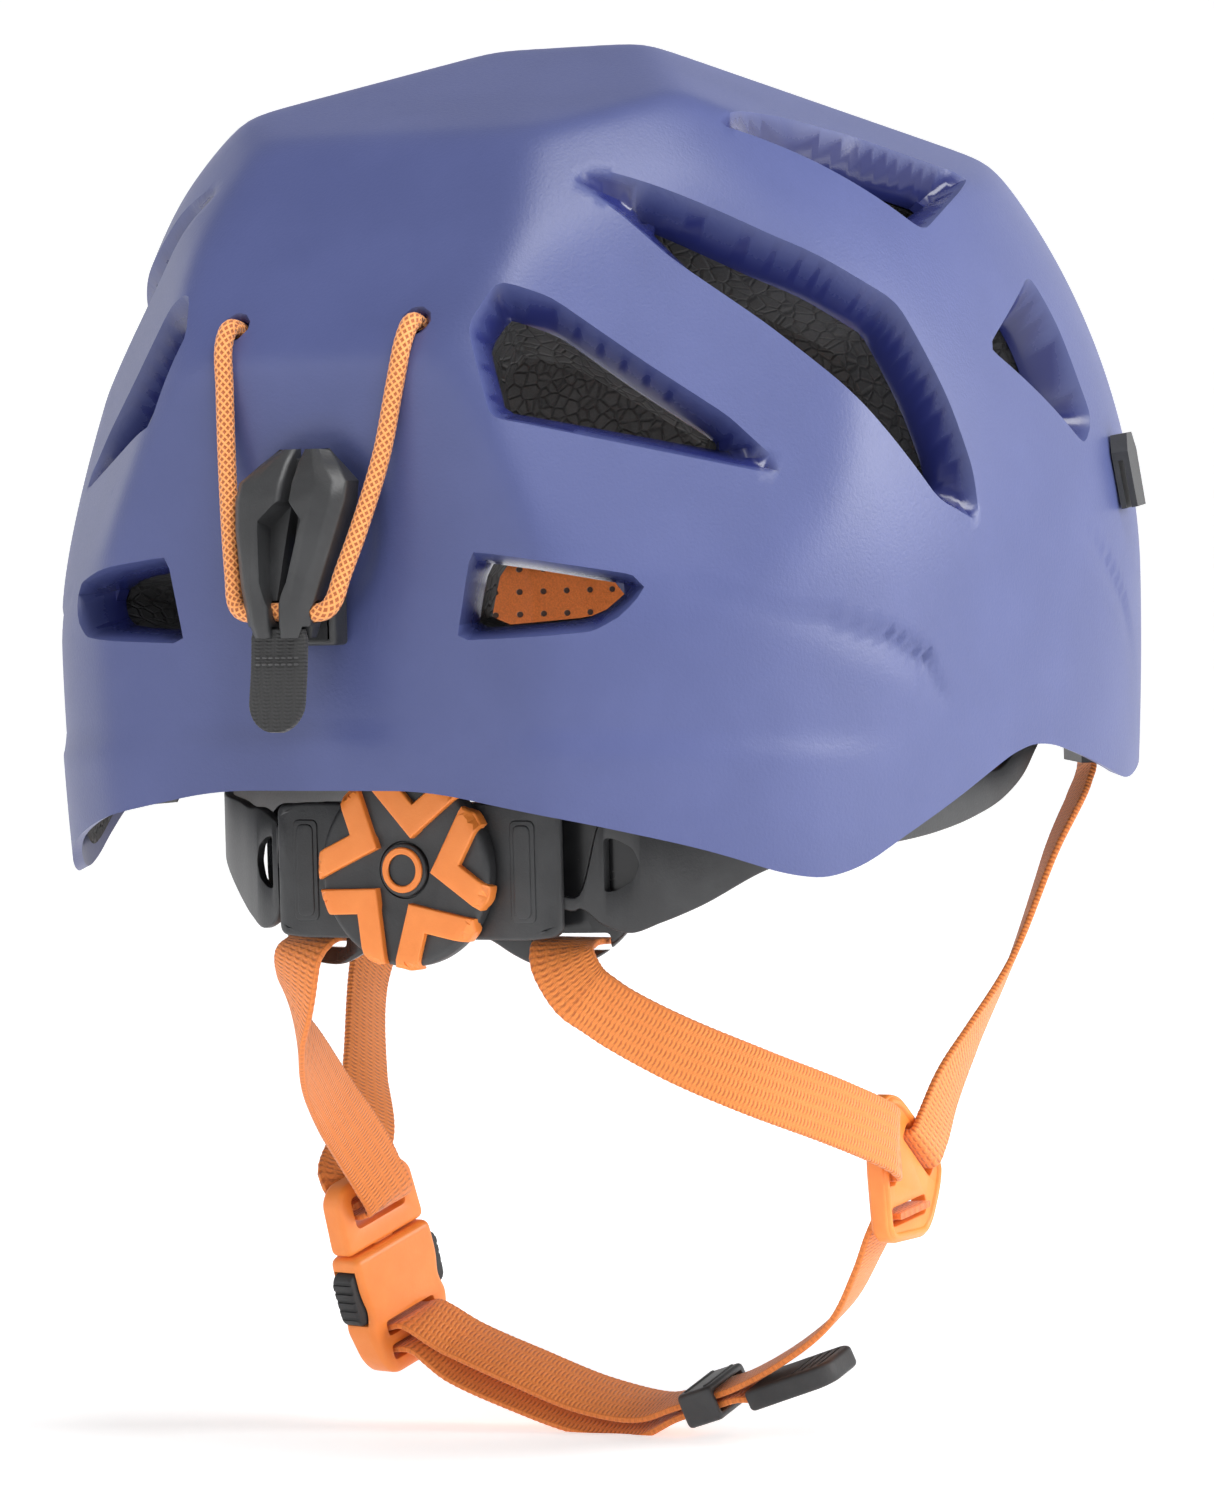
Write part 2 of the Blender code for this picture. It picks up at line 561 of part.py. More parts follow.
def build_dial():
    base_low = cradle_y(0) + YOKE_THICKNESS + PLASTIC_GAP
    base_high = base_low + BASE_THICKNESS
    rack_low = base_high + RACK_PLAY
    rack_high = rack_low + RACK_THICKNESS
    cover_low = rack_high + RACK_PLAY
    cover_high = cover_low + COVER_THICKNESS
    centre_z = DIAL_HEIGHT
    middle = (HOUSING_LOW + HOUSING_HIGH) / 2
    half = (HOUSING_HIGH - HOUSING_LOW) / 2

    base = box("housing_base", (-28, base_low, HOUSING_LOW + 3), (28, base_high, HOUSING_HIGH - 3),
               "plastic_black")
    bevel(base, 0.4)

    wide = HOUSING_HALF_WIDTH
    section = [(-wide, cover_low - 1.5), (-wide + 3, cover_low - 0.5), (-wide + 7, cover_low),
               (wide - 7, cover_low),
               (wide - 3, cover_low - 0.5), (wide, cover_low - 1.5), (wide, cover_low + 0.2),
               (wide - 6, cover_high),
               (-wide + 6, cover_high), (-wide, cover_low + 0.2)]
    rings = [[(x, y, z) for x, y in section] for z in (HOUSING_LOW, HOUSING_HIGH)]
    cover = loft("housing_cover", rings, "plastic_black")
    for name, z0, z1 in (("low", HOUSING_LOW + 0.05, HOUSING_LOW + 2.2),
                         ("high", HOUSING_HIGH - 2.2, HOUSING_HIGH - 0.05)):
        lip = box("join_lip_" + name, (-27, base_low + 0.5, z0), (27, cover_low + 0.8, z1), None, helper=True)
        cut(cover, lip, "UNION")
    shaft_hole = cone("cut_shaft", along_y(0, centre_z), [(-cover_high - 2, 3.1), (-cover_low + 2, 3.1)],
                      None, 16, helper=True)
    cut(cover, shaft_hole)
    for name, side in sides():
        inset = prism("cut_panel_" + name, rectangle(4.2, 9.0, (27.5 * side, middle - centre_z)),
                      along_y(0, centre_z), -cover_high - 1, -cover_high + 0.7, None, helper=True)
        cut(cover, inset)
    bevel(cover, 0.5)

    for name, side in sides():
        prism(name + "_rack", rack_outline(side), along_y(0, centre_z), -rack_high, -rack_low,
              "plastic_black",
              origin=(20 * side, (rack_low + rack_high) / 2, centre_z))

    teeth = []
    for k in range(PINION_TEETH):
        mid = 2 * math.pi * (k + 0.25 * 2) / PINION_TEETH + math.pi / 2 - math.pi / PINION_TEETH
        for radius, half_angle in ((4.0, 0.17), (5.1, 0.06)):
            teeth.append((radius * math.cos(mid - half_angle), radius * math.sin(mid - half_angle)))
        for radius, half_angle in ((5.1, 0.06), (4.0, 0.17)):
            teeth.append((radius * math.cos(mid + half_angle), radius * math.sin(mid + half_angle)))
    dial_low = cover_high + RACK_PLAY
    pinion = prism("pinion", teeth, along_y(0, centre_z), -rack_high - 0.1, -rack_low + 0.1, "plastic_black",
                   origin=(0, DIAL_REAR, centre_z))
    shaft = cone("join_shaft", along_y(0, centre_z), [(-dial_low - 1.8, 2.7), (-rack_high + 0.5, 2.7)],
                 None, 16, helper=True)
    cut(pinion, shaft, "UNION")

    start = (0, DIAL_REAR, centre_z)
    knob = cone("dial_knob", along_y(0, centre_z),
                [(-DIAL_REAR, DIAL_RADIUS - 2.4), (-DIAL_REAR + 1.2, DIAL_RADIUS - 0.5),
                 (-dial_low, DIAL_RADIUS - 0.5)],
                "plastic_black", 40, origin=start)
    socket = cone("cut_socket", along_y(0, centre_z), [(-dial_low - 2.2, 3.05), (-dial_low + 1, 3.05)],
                  None, 16, helper=True)
    cap_seat = cone("cut_cap_seat", along_y(0, centre_z), [(-DIAL_REAR - 1, 6.2), (-DIAL_REAR + 1.3, 6.2)],
                    None, 24, helper=True)
    cut(knob, socket)
    cut(knob, cap_seat)
    ring_low = dial_low + 0.9
    ring_high = ring_low + 1.2
    grip = ring_solid("dial_grip", along_y(0, centre_z), 11.5, 16.0, -ring_high, -ring_low,
                      "plastic_orange", start)
    seat = ring_solid("cut_ring_seat", along_y(0, centre_z), 11.5 - FIT_GAP, 16.0 + FIT_GAP,
                      -ring_high - FIT_GAP, -ring_low + FIT_GAP, None, (0, 0, 0), True)
    cut(knob, seat)
    for k in range(GRIP_COUNT):
        turn = 26 + 360 * k / GRIP_COUNT
        wide = prism("cut_grip_%d" % k, chevron(turn, FIT_GAP), along_y(0, centre_z), -DIAL_REAR - 4,
                     -ring_high + 0.4 + FIT_GAP, None, helper=True)
        cut(knob, wide)
        piece = prism("join_grip_%d" % k, chevron(turn, 0.0), along_y(0, centre_z),
                      -DIAL_REAR - GRIP_RAISE, -ring_high + 0.4, None, helper=True)
        cut(grip, piece, "UNION")
    cone("dial_cap", along_y(0, centre_z),
         [(-DIAL_REAR - 0.9, 4.2), (-DIAL_REAR - 0.9, 5.0), (-DIAL_REAR - 0.1, 5.8),
          (-DIAL_REAR + 0.95, 5.8)],
         "plastic_orange", 24, origin=start)


def ring_solid(name, place, inner, outer, low, high, look, origin, helper=False):
    """A flat ring along z of `place`."""
    c, x, y, z = place
    steps = 24
    rings = []
    for radius, level in ((inner, low), (outer, low), (outer, high), (inner, high)):
        rings.append([c + x * u + y * v + z * level for u, v in circle(radius, steps)])
    points = [p for ring in rings for p in ring]
    faces = ring_faces(4, steps, False)
    faces += [(3 * steps + k, 3 * steps + (k + 1) % steps, (k + 1) % steps, k) for k in range(steps)]
    return mesh_object(name, points, faces, look, origin, helper)


def chevron(turn, grow):
    """An open V pointing at the centre, its two ends on the rim and its point swung to one side."""
    def at(radius, swing):
        t = math.radians(turn + swing)
        return np.array((radius * math.cos(t), radius * math.sin(t)))

    rim = DIAL_RADIUS + 0.2
    ends = (at(rim, -25), at(11.2, 8), at(rim, 27))
    half = GRIP_WIDTH / 2 + grow
    left = []
    right = []
    for a, b in ((ends[0], ends[1]), (ends[1], ends[2])):
        run = (b - a) / np.linalg.norm(b - a)
        normal = np.array((-run[1], run[0]))
        left.append((a + normal * half, b + normal * half, run))
        right.append((a - normal * half, b - normal * half, run))

    def meet(first, second):
        (a, _, r), (c, _, s) = first, second
        k = ((c[0] - a[0]) * s[1] - (c[1] - a[1]) * s[0]) / (r[0] * s[1] - r[1] * s[0])
        return a + r * k

    outline = [left[0][0] - left[0][2] * grow, meet(left[0], left[1]), left[1][1] + left[1][2] * grow,
               right[1][1] + right[1][2] * grow, meet(right[0], right[1]), right[0][0] - right[0][2] * grow]
    return [tuple(p) for p in outline]


def build_arms():
    for name, side in sides():
        rack_y = cradle_y(0) + YOKE_THICKNESS + PLASTIC_GAP + BASE_THICKNESS + RACK_PLAY + RACK_THICKNESS / 2
        rear = [(RACK_OUTER_END + PLASTIC_GAP, rack_y, 0.0, 0.0), (30.0, rack_y - 0.15, 0.0, 0.0),
                (33.5, rack_y - 1.25, 0.0, 0.0), (37.5, rack_y - 3.65, 0.0, 0.0),
                (41.5, rack_y - 6.45, -72.0, -49.0)]
        bar = PINION_TEETH * TOOTH_PITCH / (2 * math.pi) + (TOOTH_HEIGHT + RACK_DEPTH) / 2
        route = []
        for x, y, low, high in rear:
            if low == high:
                middle = DIAL_HEIGHT + bar * side
                low, high = middle - 1.6, middle + 1.6
            route.append((x, y, low, high))
        route += ARM_ROUTE
        rings = []
        for k, (x, y, low, high) in enumerate(route):
            before = route[max(k - 1, 0)]
            after = route[min(k + 1, len(route) - 1)]
            run = Vector((after[0] - before[0], after[1] - before[1], 0)).normalized()
            out = Vector((-run.y, run.x, 0)) * (ARM_THICKNESS / 2)
            if out.y < 0 and k < 6:
                out = -out
            rings.append([((x + out.x) * side, y + out.y, low), ((x + out.x) * side, y + out.y, high),
                          ((x - out.x) * side, y - out.y, high), ((x - out.x) * side, y - out.y, low)])
        end = route[-2]
        arm = loft(name + "_arm", rings, "plastic_black", origin=(end[0] * side, end[1], -31.0))
        window = [(0, -6), (2.5, -5.6), (5.5, -3.6), (6.8, 0), (5.5, 3.6), (2.5, 5.6), (0, 6)]
        window = [(u * side, v) for u, v in window]
        tool = prism("cut_window_" + name, window, along_y(42.5 * side, -59.0), -84, -60, None, helper=True)
        cut(arm, tool)
        hole = cone("cut_pin_" + name, along_x(-46, -31), [(80 * side, PIN_RADIUS + FIT_GAP),
                                                           (92 * side, PIN_RADIUS + FIT_GAP)],
                    None, 12, helper=True)
        cut(arm, hole)
        pin = cone(name + "_temple_pin", along_x(-46, -31),
                   [(82.1 * side, PIN_HEAD_RADIUS - 0.6), (82.5 * side, PIN_HEAD_RADIUS),
                    (83.5 * side, PIN_HEAD_RADIUS),
                    (83.5 * side, PIN_RADIUS), ((84.4 + PIN_LENGTH) * side, PIN_RADIUS)],
                   "plastic_black", 12, origin=(84.4 * side, -46, -31))
        bore = cone("cut_bore_" + name, along_x(-46, -31),
                    [(84 * side, PIN_RADIUS + FIT_GAP), ((84.8 + PIN_LENGTH) * side, PIN_RADIUS + FIT_GAP)],
                    None, 12, helper=True)
        cut(bpy.data.objects["eps_liner"], bore)


def side_strap_stations(side):
    """Front strap from the temple anchor and rear strap from the yoke slot, on one side."""
    if side < 0:
        front = [((-90, -65, -38.8), (-0.6, 0.8, 0)), ((-90, -65, -44.4), (-0.6, 0.8, 0)),
                 ((-89.6, -61.6, -50), (-0.6, 0.8, 0)), ((-88, -49.5, -64), (-0.53, 0.85, 0)),
                 ((-84, -35.5, -88), (-0.45, 0.89, 0.1)), ((-80, -22, -105), (-0.25, 0.94, 0.2)),
                 ((-78.2, -12, -116), (-0.1, 0.85, 0.5)), ((-77.4, -6.4, -124.2), (0, 0.79, 0.62)),
                 ((-76.5, -3.8, -128.0), (0, 0.79, 0.62)), ((-73.5, -3.5, -128.4), (0, 0.79, 0.62)),
                 ((-69.8, -3.4, -128.5), (0, 0.79, 0.62))]
        rear = [((-32.5, 72.2, -76.0), (1, 0.3, 0)), ((-32.5, 80.5, -76.3), (1, 0.25, 0)),
                ((-33.8, 83.6, -79.5), (1, 0.2, 0)),
                ((-38, 84, -86), (0.85, 0.15, 0.35)), ((-42, 82.5, -89.4), (0.74, 0.13, 0.56)),
                ((-46, 80.5, -92.5), (0.6, 0.1, 0.75)),
                ((-56, 73, -99.5), (0.3, 0.1, 0.95)),
                ((-67, 59, -107.5), (0.1, 0.05, 1)), ((-75.5, 36, -116.5), (0, 0.1, 1)),
                ((-78.4, 17, -123.5), (0, 0.1, 1)),
                ((-77.8, 12.6, -125.6), (0, 0, 1)), ((-76.2, 10.2, -126.8), (0, 0, 1)),
                ((-73.5, 10.0, -127), (0, 0, 1)), ((-69.6, 9.8, -127), (0, 0, 1))]
    else:
        c, x, y, z = buckle_frame()
        slot = c + y * (MALE_SLOT_CENTRE - MALE_FRAME_LENGTH)
        front = [((90, -65, -38.8), (0.6, 0.8, 0)), ((90, -65, -44.4), (0.6, 0.8, 0)),
                 ((89.8, -61.4, -50), (0.6, 0.8, 0)), ((89, -48, -72), (0.35, 0.93, 0)),
                 ((86, -31, -93), (0, 1, 0)), ((79, -17, -114), (0, 1, -0.1)),
                 ((72.5, -6.5, -127), (0.1, 0.95, -0.2)),
                 (slot + z * 6.4 - y * 4.4 + x * 0.8, -x), (slot + z * 3.6 - y * 1.5, -x),
                 (slot - z * 2.2 - y * 1.3, -x)]
        rear = [((32.5, 72.2, -76.0), (1, -0.3, 0)), ((32.5, 80.5, -76.3), (1, -0.25, 0)),
                ((34, 83.5, -79.5), (1, -0.3, 0.05)),
                ((36.5, 81.5, -87), (0.95, -0.5, 0.2)), ((41, 74, -95.5), (0.6, -0.8, 0.35)),
                ((46, 60, -105.5), (0.1, -0.75, 0.65)),
                ((51.5, 42, -117), (-0.2, -0.55, 0.75)), ((54.6, 26, -128), (-0.3, -0.7, 0.6)),
                ((55.4, 18.0, -135.2), (-0.25, -0.85, 0.4)),
                (slot - z * 6.5 - y * 0.4, x), (slot - z * 3.4 + y * 1.2, x), (slot + z * 2.4 + y * 1.3, x)]
    return front, rear


def build_side_straps():
    liner = bpy.data.objects["eps_liner"]
    for name, side in sides():
        front, rear = side_strap_stations(side)
        strap(name + "_front_strap", front)
        strap(name + "_rear_strap", rear)
        across = Vector((0.6 * side, 0.8, 0))
        place = frame_from((90 * side, -65, 0), across, (across.y, -across.x, 0))
        low, high = (-43.5, -33.5) if place[3].z > 0 else (33.5, 43.5)
        anchor = prism(name + "_strap_anchor", rectangle(10.5, 3.2), place, low, high, "plastic_black",
                       origin=(90 * side, -65, -38))
        slot = prism("cut_anchor_" + name, rectangle(WEB_WIDTH / 2 + 0.7, WEB_THICKNESS / 2 + 0.7), place,
                     *((-60, -38.2) if place[3].z > 0 else (38.2, 60)), None, helper=True)
        cut(anchor, slot)
        seat = prism("cut_seat_" + name, rectangle(10.5 + FIT_GAP, 3.2 + FIT_GAP), place,
                     *((-60, -33.0) if place[3].z > 0 else (33.0, 60)), None, helper=True)
        cut(liner, seat)


def build_lamp_hook():
    levels = [(33, 6.5, 129.3, 133), (26, 14, 129.3, 138.5), (10, 11.4, 132.5, 143.5), (0, 8.8, 136, 145.5),
              (-7, 7.4, 137.6, 145)]
    rings = [[(-half, near, z), (half, near, z), (half * 0.93, far, z), (-half * 0.93, far, z)] for z, half,
             near, far in levels]
    hook = loft("lamp_hook", rings, "plastic_black", origin=(0, 134, 0))
    groove = prism("cut_groove", [(132, 40), (134.5, 26), (140.5, 8), (142.9, 0), (142.9, -12), (160, -12),
                                  (160, 40)], along_x(0, 0),
                   -HOOK_GAP / 2, HOOK_GAP / 2, None, helper=True)
    diamond = prism("cut_diamond", [(0, 15.5), (5.2, 9.5), (3.2, -4), (0.8, -11), (-0.8, -11), (-3.2, -4),
                                    (-5.2, 9.5)],
                    frame_from((0, 140, 8), (1, 0, 0), (0, -0.3, 1)), -12, 0.5, None, helper=True)
    passage = cone("cut_cord_way", along_x(140.2, -1.5), [(-20, CORD_RADIUS + 0.45),
                                                          (20, CORD_RADIUS + 0.45)], None, 12, helper=True)
    tab_slot = box("cut_tab_slot", (-20, 140.9, -12), (20, 143.3, -4.6), None, helper=True)
    for tool in (groove, diamond, passage, tab_slot):
        cut(hook, tool)
    tab = [((0, 142.1, -5.2), 6.0), ((0, 142.1, -8), TAB_HALF_WIDTH - 0.2), ((0, 142.6, -14), TAB_HALF_WIDTH),
           ((0, 143.5, -20), TAB_HALF_WIDTH), ((0, 144.2, -24.5), TAB_HALF_WIDTH - 0.5),
           ((0, 144.4, -26), TAB_HALF_WIDTH - 2.2)]
    rings = [[(-half, y - TAB_THICKNESS / 2, z), (half, y - TAB_THICKNESS / 2, z),
              (half, y + TAB_THICKNESS / 2, z),
              (-half, y + TAB_THICKNESS / 2, z)] for (_, y, z), half in tab]
    loft("pull_tab", rings, "webbing_black", origin=tab[0][0])

    hx, hy, hz = CORD_HOLE
    half = [(hx - 0.6, hy - 9.0, hz - 4.4), (hx - 0.1, hy - 3, hz - 1.2), (hx + 0.3, hy + 2.6, hz + 0.4),
            (hx + 0.1, hy + 5.8, hz - 3.2),
            (hx - 1.2, 127.6, 46), (hx - 3.2, 130.6, 31), (16.2, 135.0, 16), (13.6, 138.2, 6),
            (12.2, 139.7, 0.6),
            (10.2, 140.2, -1.4)]
    route = half + [(0, 140.2, -1.5)] + [(-x, y, z) for x, y, z in half[::-1]]
    tube("lamp_cord", route, CORD_RADIUS, "cord_orange", origin=(0, 140.2, -1.5))
    rings = [[(-8.5, 127.2, z), (8.5, 127.2, z), (8.5 - trim, 134.6 - trim, z),
              (-8.5 + trim, 134.6 - trim, z)]
             for z, trim in ((-9, 2.5), (-5, 0.5), (1, 0.8), (5, 3.5))]
    loft("hook_base", rings, "plastic_black")


def build_front_clips():
    for name, side in sides():
        place = tangent_frame(118 * side, 11)
        c, x, y, z = place
        outline = [(-5, -8), (5, -8), (5.5, 5), (3, 9), (-3, 9), (-5.5, 5)]
        clip = prism(name + "_front_clip", outline, (c, x, y, x.cross(y)),
                     *((0.35, 4.2) if x.cross(y).dot(z) > 0 else (-4.2, -0.35)), "plastic_black")
        finger = frame_from(c, y, z)
        gap = prism("cut_clip_" + name, [(-12, 1.6), (3, 1.6), (3, 2.8), (-12, 2.8)], finger, -12, 12, None,
                    helper=True)
        cut(clip, gap)


def buckle_frame():
    """x across the buckle towards the front, y down its length, z away from the head."""
    turn = Matrix.Rotation(math.radians(BUCKLE_YAW), 3, "Z") @ Matrix.Rotation(math.radians(-BUCKLE_LEAN),
                                                                               3, "X")
    x = turn @ Vector((0, -1, 0))
    y = turn @ Vector((0, 0, -1))
    return Vector(BUCKLE_CENTRE), x, y, turn @ Vector((1, 0, 0))


def buckle_prism(name, outline, low, high, look, origin=None, helper=False):
    c, x, y, z = buckle_frame()
    rings = [[c + x * u + y * v + z * level for u, v in outline] for level in (low, high)]
    return loft(name, rings, look, origin or tuple(c), helper)


def build_buckle():
    half = BUCKLE_WIDTH / 2
    t = BUCKLE_THICKNESS / 2
    c, x, y, z = buckle_frame()
    male = buckle_prism("buckle_male", [(-half + 0.6, -MALE_FRAME_LENGTH + 3),
                                        (-half + 4, -MALE_FRAME_LENGTH), (half - 4, -MALE_FRAME_LENGTH),
                                        (half - 0.6, -MALE_FRAME_LENGTH + 3), (half, -0.35),
                                        (-half, -0.35)], -3.0, 3.0, "plastic_orange")
    web_slot = buckle_prism("cut_male_slot", rectangle(WEB_WIDTH / 2 + 0.9, 3.8,
                                                       (0, MALE_SLOT_CENTRE - MALE_FRAME_LENGTH)), -9, 9,
                            None, helper=True)
    prong = buckle_prism("join_prong", [(-3.4, -1.5), (3.4, -1.5), (3.4, PRONG_LENGTH - 2),
                                        (2.2, PRONG_LENGTH), (-2.2, PRONG_LENGTH),
                                        (-3.4, PRONG_LENGTH - 2)], -1.6, 1.6, None, helper=True)
    cut(male, web_slot)
    cut(male, prong, "UNION")
    bevel(male, 0.5)

    tip = FEMALE_LENGTH
    female = buckle_prism("buckle_female", [(-half, 0), (half, 0), (half, 9), (half - 1.2, 14),
                                            (half + 0.3, 18), (half - 2.0, tip - 4),
                                            (half - 5, tip), (-half + 5, tip), (-half + 2.0, tip - 4),
                                            (-half - 0.3, 18),
                                            (-half + 1.2, 14), (-half, 9)], -t, t, "plastic_orange")
    cavity = buckle_prism("cut_female_cavity", rectangle(3.4 + FIT_GAP, 8.5, (0, PRONG_LENGTH - 7.3)),
                          -1.6 - FIT_GAP, 1.6 + FIT_GAP,
                          None, helper=True)
    cut(female, cavity)
    for number, middle in enumerate(WEB_SLOTS):
        slot = buckle_prism("cut_female_slot_%d" % number, rectangle(WEB_WIDTH / 2 + 0.9, WEB_SLOT_HALF,
                                                                     (0, middle)), -9, 9, None, helper=True)
        cut(female, slot)
    for name, side in (("rear", -1), ("front", 1)):
        floor = half - LEVER_ROOT - LEVER_TRAVEL
        seat = buckle_prism("cut_lever_" + name,
                            rectangle((half + 2 - floor) / 2, LEVER_LENGTH / 2 + FIT_GAP,
                                      (side * (half + 2 + floor) / 2, LEVER_CENTRE)),
                            -3.0 - FIT_GAP, 3.0 + FIT_GAP, None, helper=True)
        cut(female, seat)
        inner = half - LEVER_ROOT + FIT_GAP
        low = LEVER_CENTRE - LEVER_LENGTH / 2
        high = LEVER_CENTRE + LEVER_LENGTH / 2
        lever = buckle_prism(name + "_release_lever",
                             [(side * inner, low), (side * (half + 0.4), low), (side * (half + 2.2), low + 2),
                              (side * (half + 1.8), high - 1.5), (side * (half + 0.6), high),
                              (side * inner, high)],
                             -3.0, 3.0, "rubber_black", origin=tuple(c + x * side * half + y * LEVER_CENTRE))
        bevel(lever, 0.3)
    bevel(female, 0.5)


def keeper_frame():
    """z along the strap towards the divider, x across its width, y to its upper side."""
    run = Vector((-14.0, -0.3, 4.6)).normalized()
    wide = Vector((0, -0.97, 0.2))
    wide = (wide - run * wide.dot(run)).normalized()
    up = run.cross(wide)
    if up.z < 0:
        wide = -wide
        up = -up
    return Vector((-21.0, -4.3, -187.0)), wide, up, run


def build_chin_strap():
    """One webbing from the divider, through the keeper, round the buckle bar and back to the end tab."""
    c, x, y, z = buckle_frame()
    upper = c + y * WEB_SLOTS[0]
    lower = c + y * WEB_SLOTS[1]
    k, wide, up, run = keeper_frame()
    if wide.y > 0:
        wide = -wide
    apart = WEB_THICKNESS / 2 + 0.55
    top = up * apart
    stations = [((-77.0, 2.0, -141.6), (0, -0.99, 0.1)), ((-73.5, 2.0, -141.8), (0, -0.99, 0.1)),
                ((-70.6, 2.0, -142.3), (0, -0.99, 0.1)),
                ((-68.4, 1.8, -145.4), (0, -0.98, 0.15)), ((-63.6, 0.4, -154.0), (0, -0.95, 0.3)),
                ((-55, -2.6, -166.0), (0.05, -0.95, 0.3)),
                ((-42, -4.0, -176.0), (0.03, -0.97, 0.25)),
                (k + run * 8 + top, wide), (k + top, wide), (k - run * 8 + top, wide),
                ((-5, -3.7, -190.2), (-0.1, -0.93, 0.3)), ((10, -2.4, -188.0), (-0.16, -0.89, 0.38)),
                ((28, -0.4, -181.6), (-0.2, -0.9, 0.36)), ((43, 1.0, -175.8), (-0.22, -0.92, 0.32)),
                (upper - z * 7.5 - y * 0.4, x), (upper - z * 3.0 + y * 0.3, x),
                (upper + z * 4.5 + y * 0.3, x), (upper + z * 8.0 + y * 1.3, x),
                (upper + z * 9.3 + y * 3.0, x), (lower + z * 8.0 - y * 1.3, x),
                (lower + z * 4.5 - y * 0.2, x),
                (lower - z * 3.0 - y * 0.2, x), (lower - z * 8.5 - y * 0.3, x),
                ((43, 0.2, -182.2), (-0.22, -0.92, 0.32)), ((28, -1.4, -188.0), (-0.2, -0.9, 0.36)),
                ((10, -3.0, -193.2), (-0.16, -0.89, 0.38)), ((-5, -4.2, -194.2), (-0.1, -0.93, 0.3)),
                (k - run * 8 - top, wide), (k - top, wide), (k + run * 8 - top, wide),
                (k + run * 11.5 - up * 2.1, wide), (k + run * 15 - up * 2.4, wide)]
    strap("chin_strap", stations, origin=(0, -3.2, -190))


def build_chin_fittings():
    k, wide, up, run = keeper_frame()
    place = (k, wide, up, run)
    keeper = prism("strap_keeper", rectangle(10.0, 4.2), place, -4.5, 4.5, "plastic_black", origin=tuple(k))
    hole = prism("cut_keeper", rectangle(WEB_WIDTH / 2 + 0.7, WEB_THICKNESS + 1.1), place, -8, 8, None,
                 helper=True)
    cut(keeper, hole)
    bevel(keeper, 0.6)

    end = k + run * 11.5 - up * 2.3
    tab_run = (run + up * 0.02).normalized()
    place = frame_from(end + tab_run * 11, tab_run, wide)
    half = WEB_WIDTH / 2 + 1.8
    outline = [(-11, -half), (9, -half), (12, -6), (12, 6), (9, half), (-11, half)]
    end_tab = prism("end_tab", outline, place, -2.5, 2.5, "rubber_black", origin=tuple(end))
    seat = prism("cut_end_tab", rectangle(5.6, WEB_WIDTH / 2 + 0.6, (-11.0, 0)), place, -1.5, 1.5, None,
                 helper=True)
    bevel(end_tab, 0.6)
    cut(end_tab, seat)

    outline = [(11, -114.5), (5, -115.5), (-9, -126.0), (-15, -133.0), (-13.5, -138.5), (-9.5, -145.5),
               (-6, -148.5),
               (10, -148.5), (13, -146.0), (15, -131), (14.5, -118)]
    place = frame_from((-73.5, 0, 0), (0, 1, 0), (0, 0, 1))
    divider = prism("strap_divider", outline, place, -2.0, 2.0, "plastic_orange", origin=(-73.5, 1, -132))
    lengthways = rectangle(WEB_WIDTH / 2 + 0.8, 2.1)
    for name, centre, across in (("rear", (-73.5, 10.0, -127.0), (0, 0, 1)),
                                 ("front", (-73.5, -3.5, -128.5), (0, 0.79, 0.62)),
                                 ("chin", (-73.5, 2.0, -141.8), (0, -0.99, 0.1))):
        place = frame_from(centre, across, Vector((1, 0, 0)).cross(Vector(across)))
        tool = prism("cut_divider_" + name, lengthways, place, -9, 9, None, helper=True)
        cut(divider, tool)
    bevel(divider, 0.5)


def main():
    clear_scene()
    build_shell()
    build_pads()
    build_yoke()
    build_dial()
    build_arms()
    build_side_straps()
    build_lamp_hook()
    build_front_clips()
    build_buckle()
    build_chin_strap()
    build_chin_fittings()


main()
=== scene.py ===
import math

import bmesh
import bpy
import numpy as np
from mathutils import Matrix, Vector


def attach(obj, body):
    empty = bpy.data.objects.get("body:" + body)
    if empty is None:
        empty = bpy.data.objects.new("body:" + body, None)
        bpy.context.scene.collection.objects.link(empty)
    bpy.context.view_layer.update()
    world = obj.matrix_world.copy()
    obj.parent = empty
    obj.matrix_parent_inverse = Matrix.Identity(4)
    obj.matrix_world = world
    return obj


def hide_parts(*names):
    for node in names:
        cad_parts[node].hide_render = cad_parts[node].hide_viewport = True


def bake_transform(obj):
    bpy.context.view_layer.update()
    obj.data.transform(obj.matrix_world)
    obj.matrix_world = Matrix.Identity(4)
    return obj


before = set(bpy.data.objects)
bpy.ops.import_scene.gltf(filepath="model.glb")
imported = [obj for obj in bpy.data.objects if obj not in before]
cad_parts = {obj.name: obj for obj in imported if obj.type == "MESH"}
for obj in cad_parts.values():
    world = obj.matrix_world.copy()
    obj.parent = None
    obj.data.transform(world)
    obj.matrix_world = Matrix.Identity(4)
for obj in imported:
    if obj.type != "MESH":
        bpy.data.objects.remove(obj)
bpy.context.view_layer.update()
mm = 0.001

# Small tools. Shapes are worked out in millimetres, as whole arrays, and scaled when the mesh is made.


def unit(a):
    return a / np.maximum(np.linalg.norm(a, axis=-1, keepdims=True), 1e-12)


def heading(azimuth, elevation):
    # unit vector: azimuth from the rear towards the wearer's left, elevation above the headband plane
    a, e = np.radians(azimuth), np.radians(elevation)
    return np.stack([np.sin(a) * np.cos(e), np.cos(a) * np.cos(e), np.sin(e) + 0 * a], -1)


def added(name, data):
    obj = bpy.data.objects.new(name, data)
    bpy.context.scene.collection.objects.link(obj)
    return obj


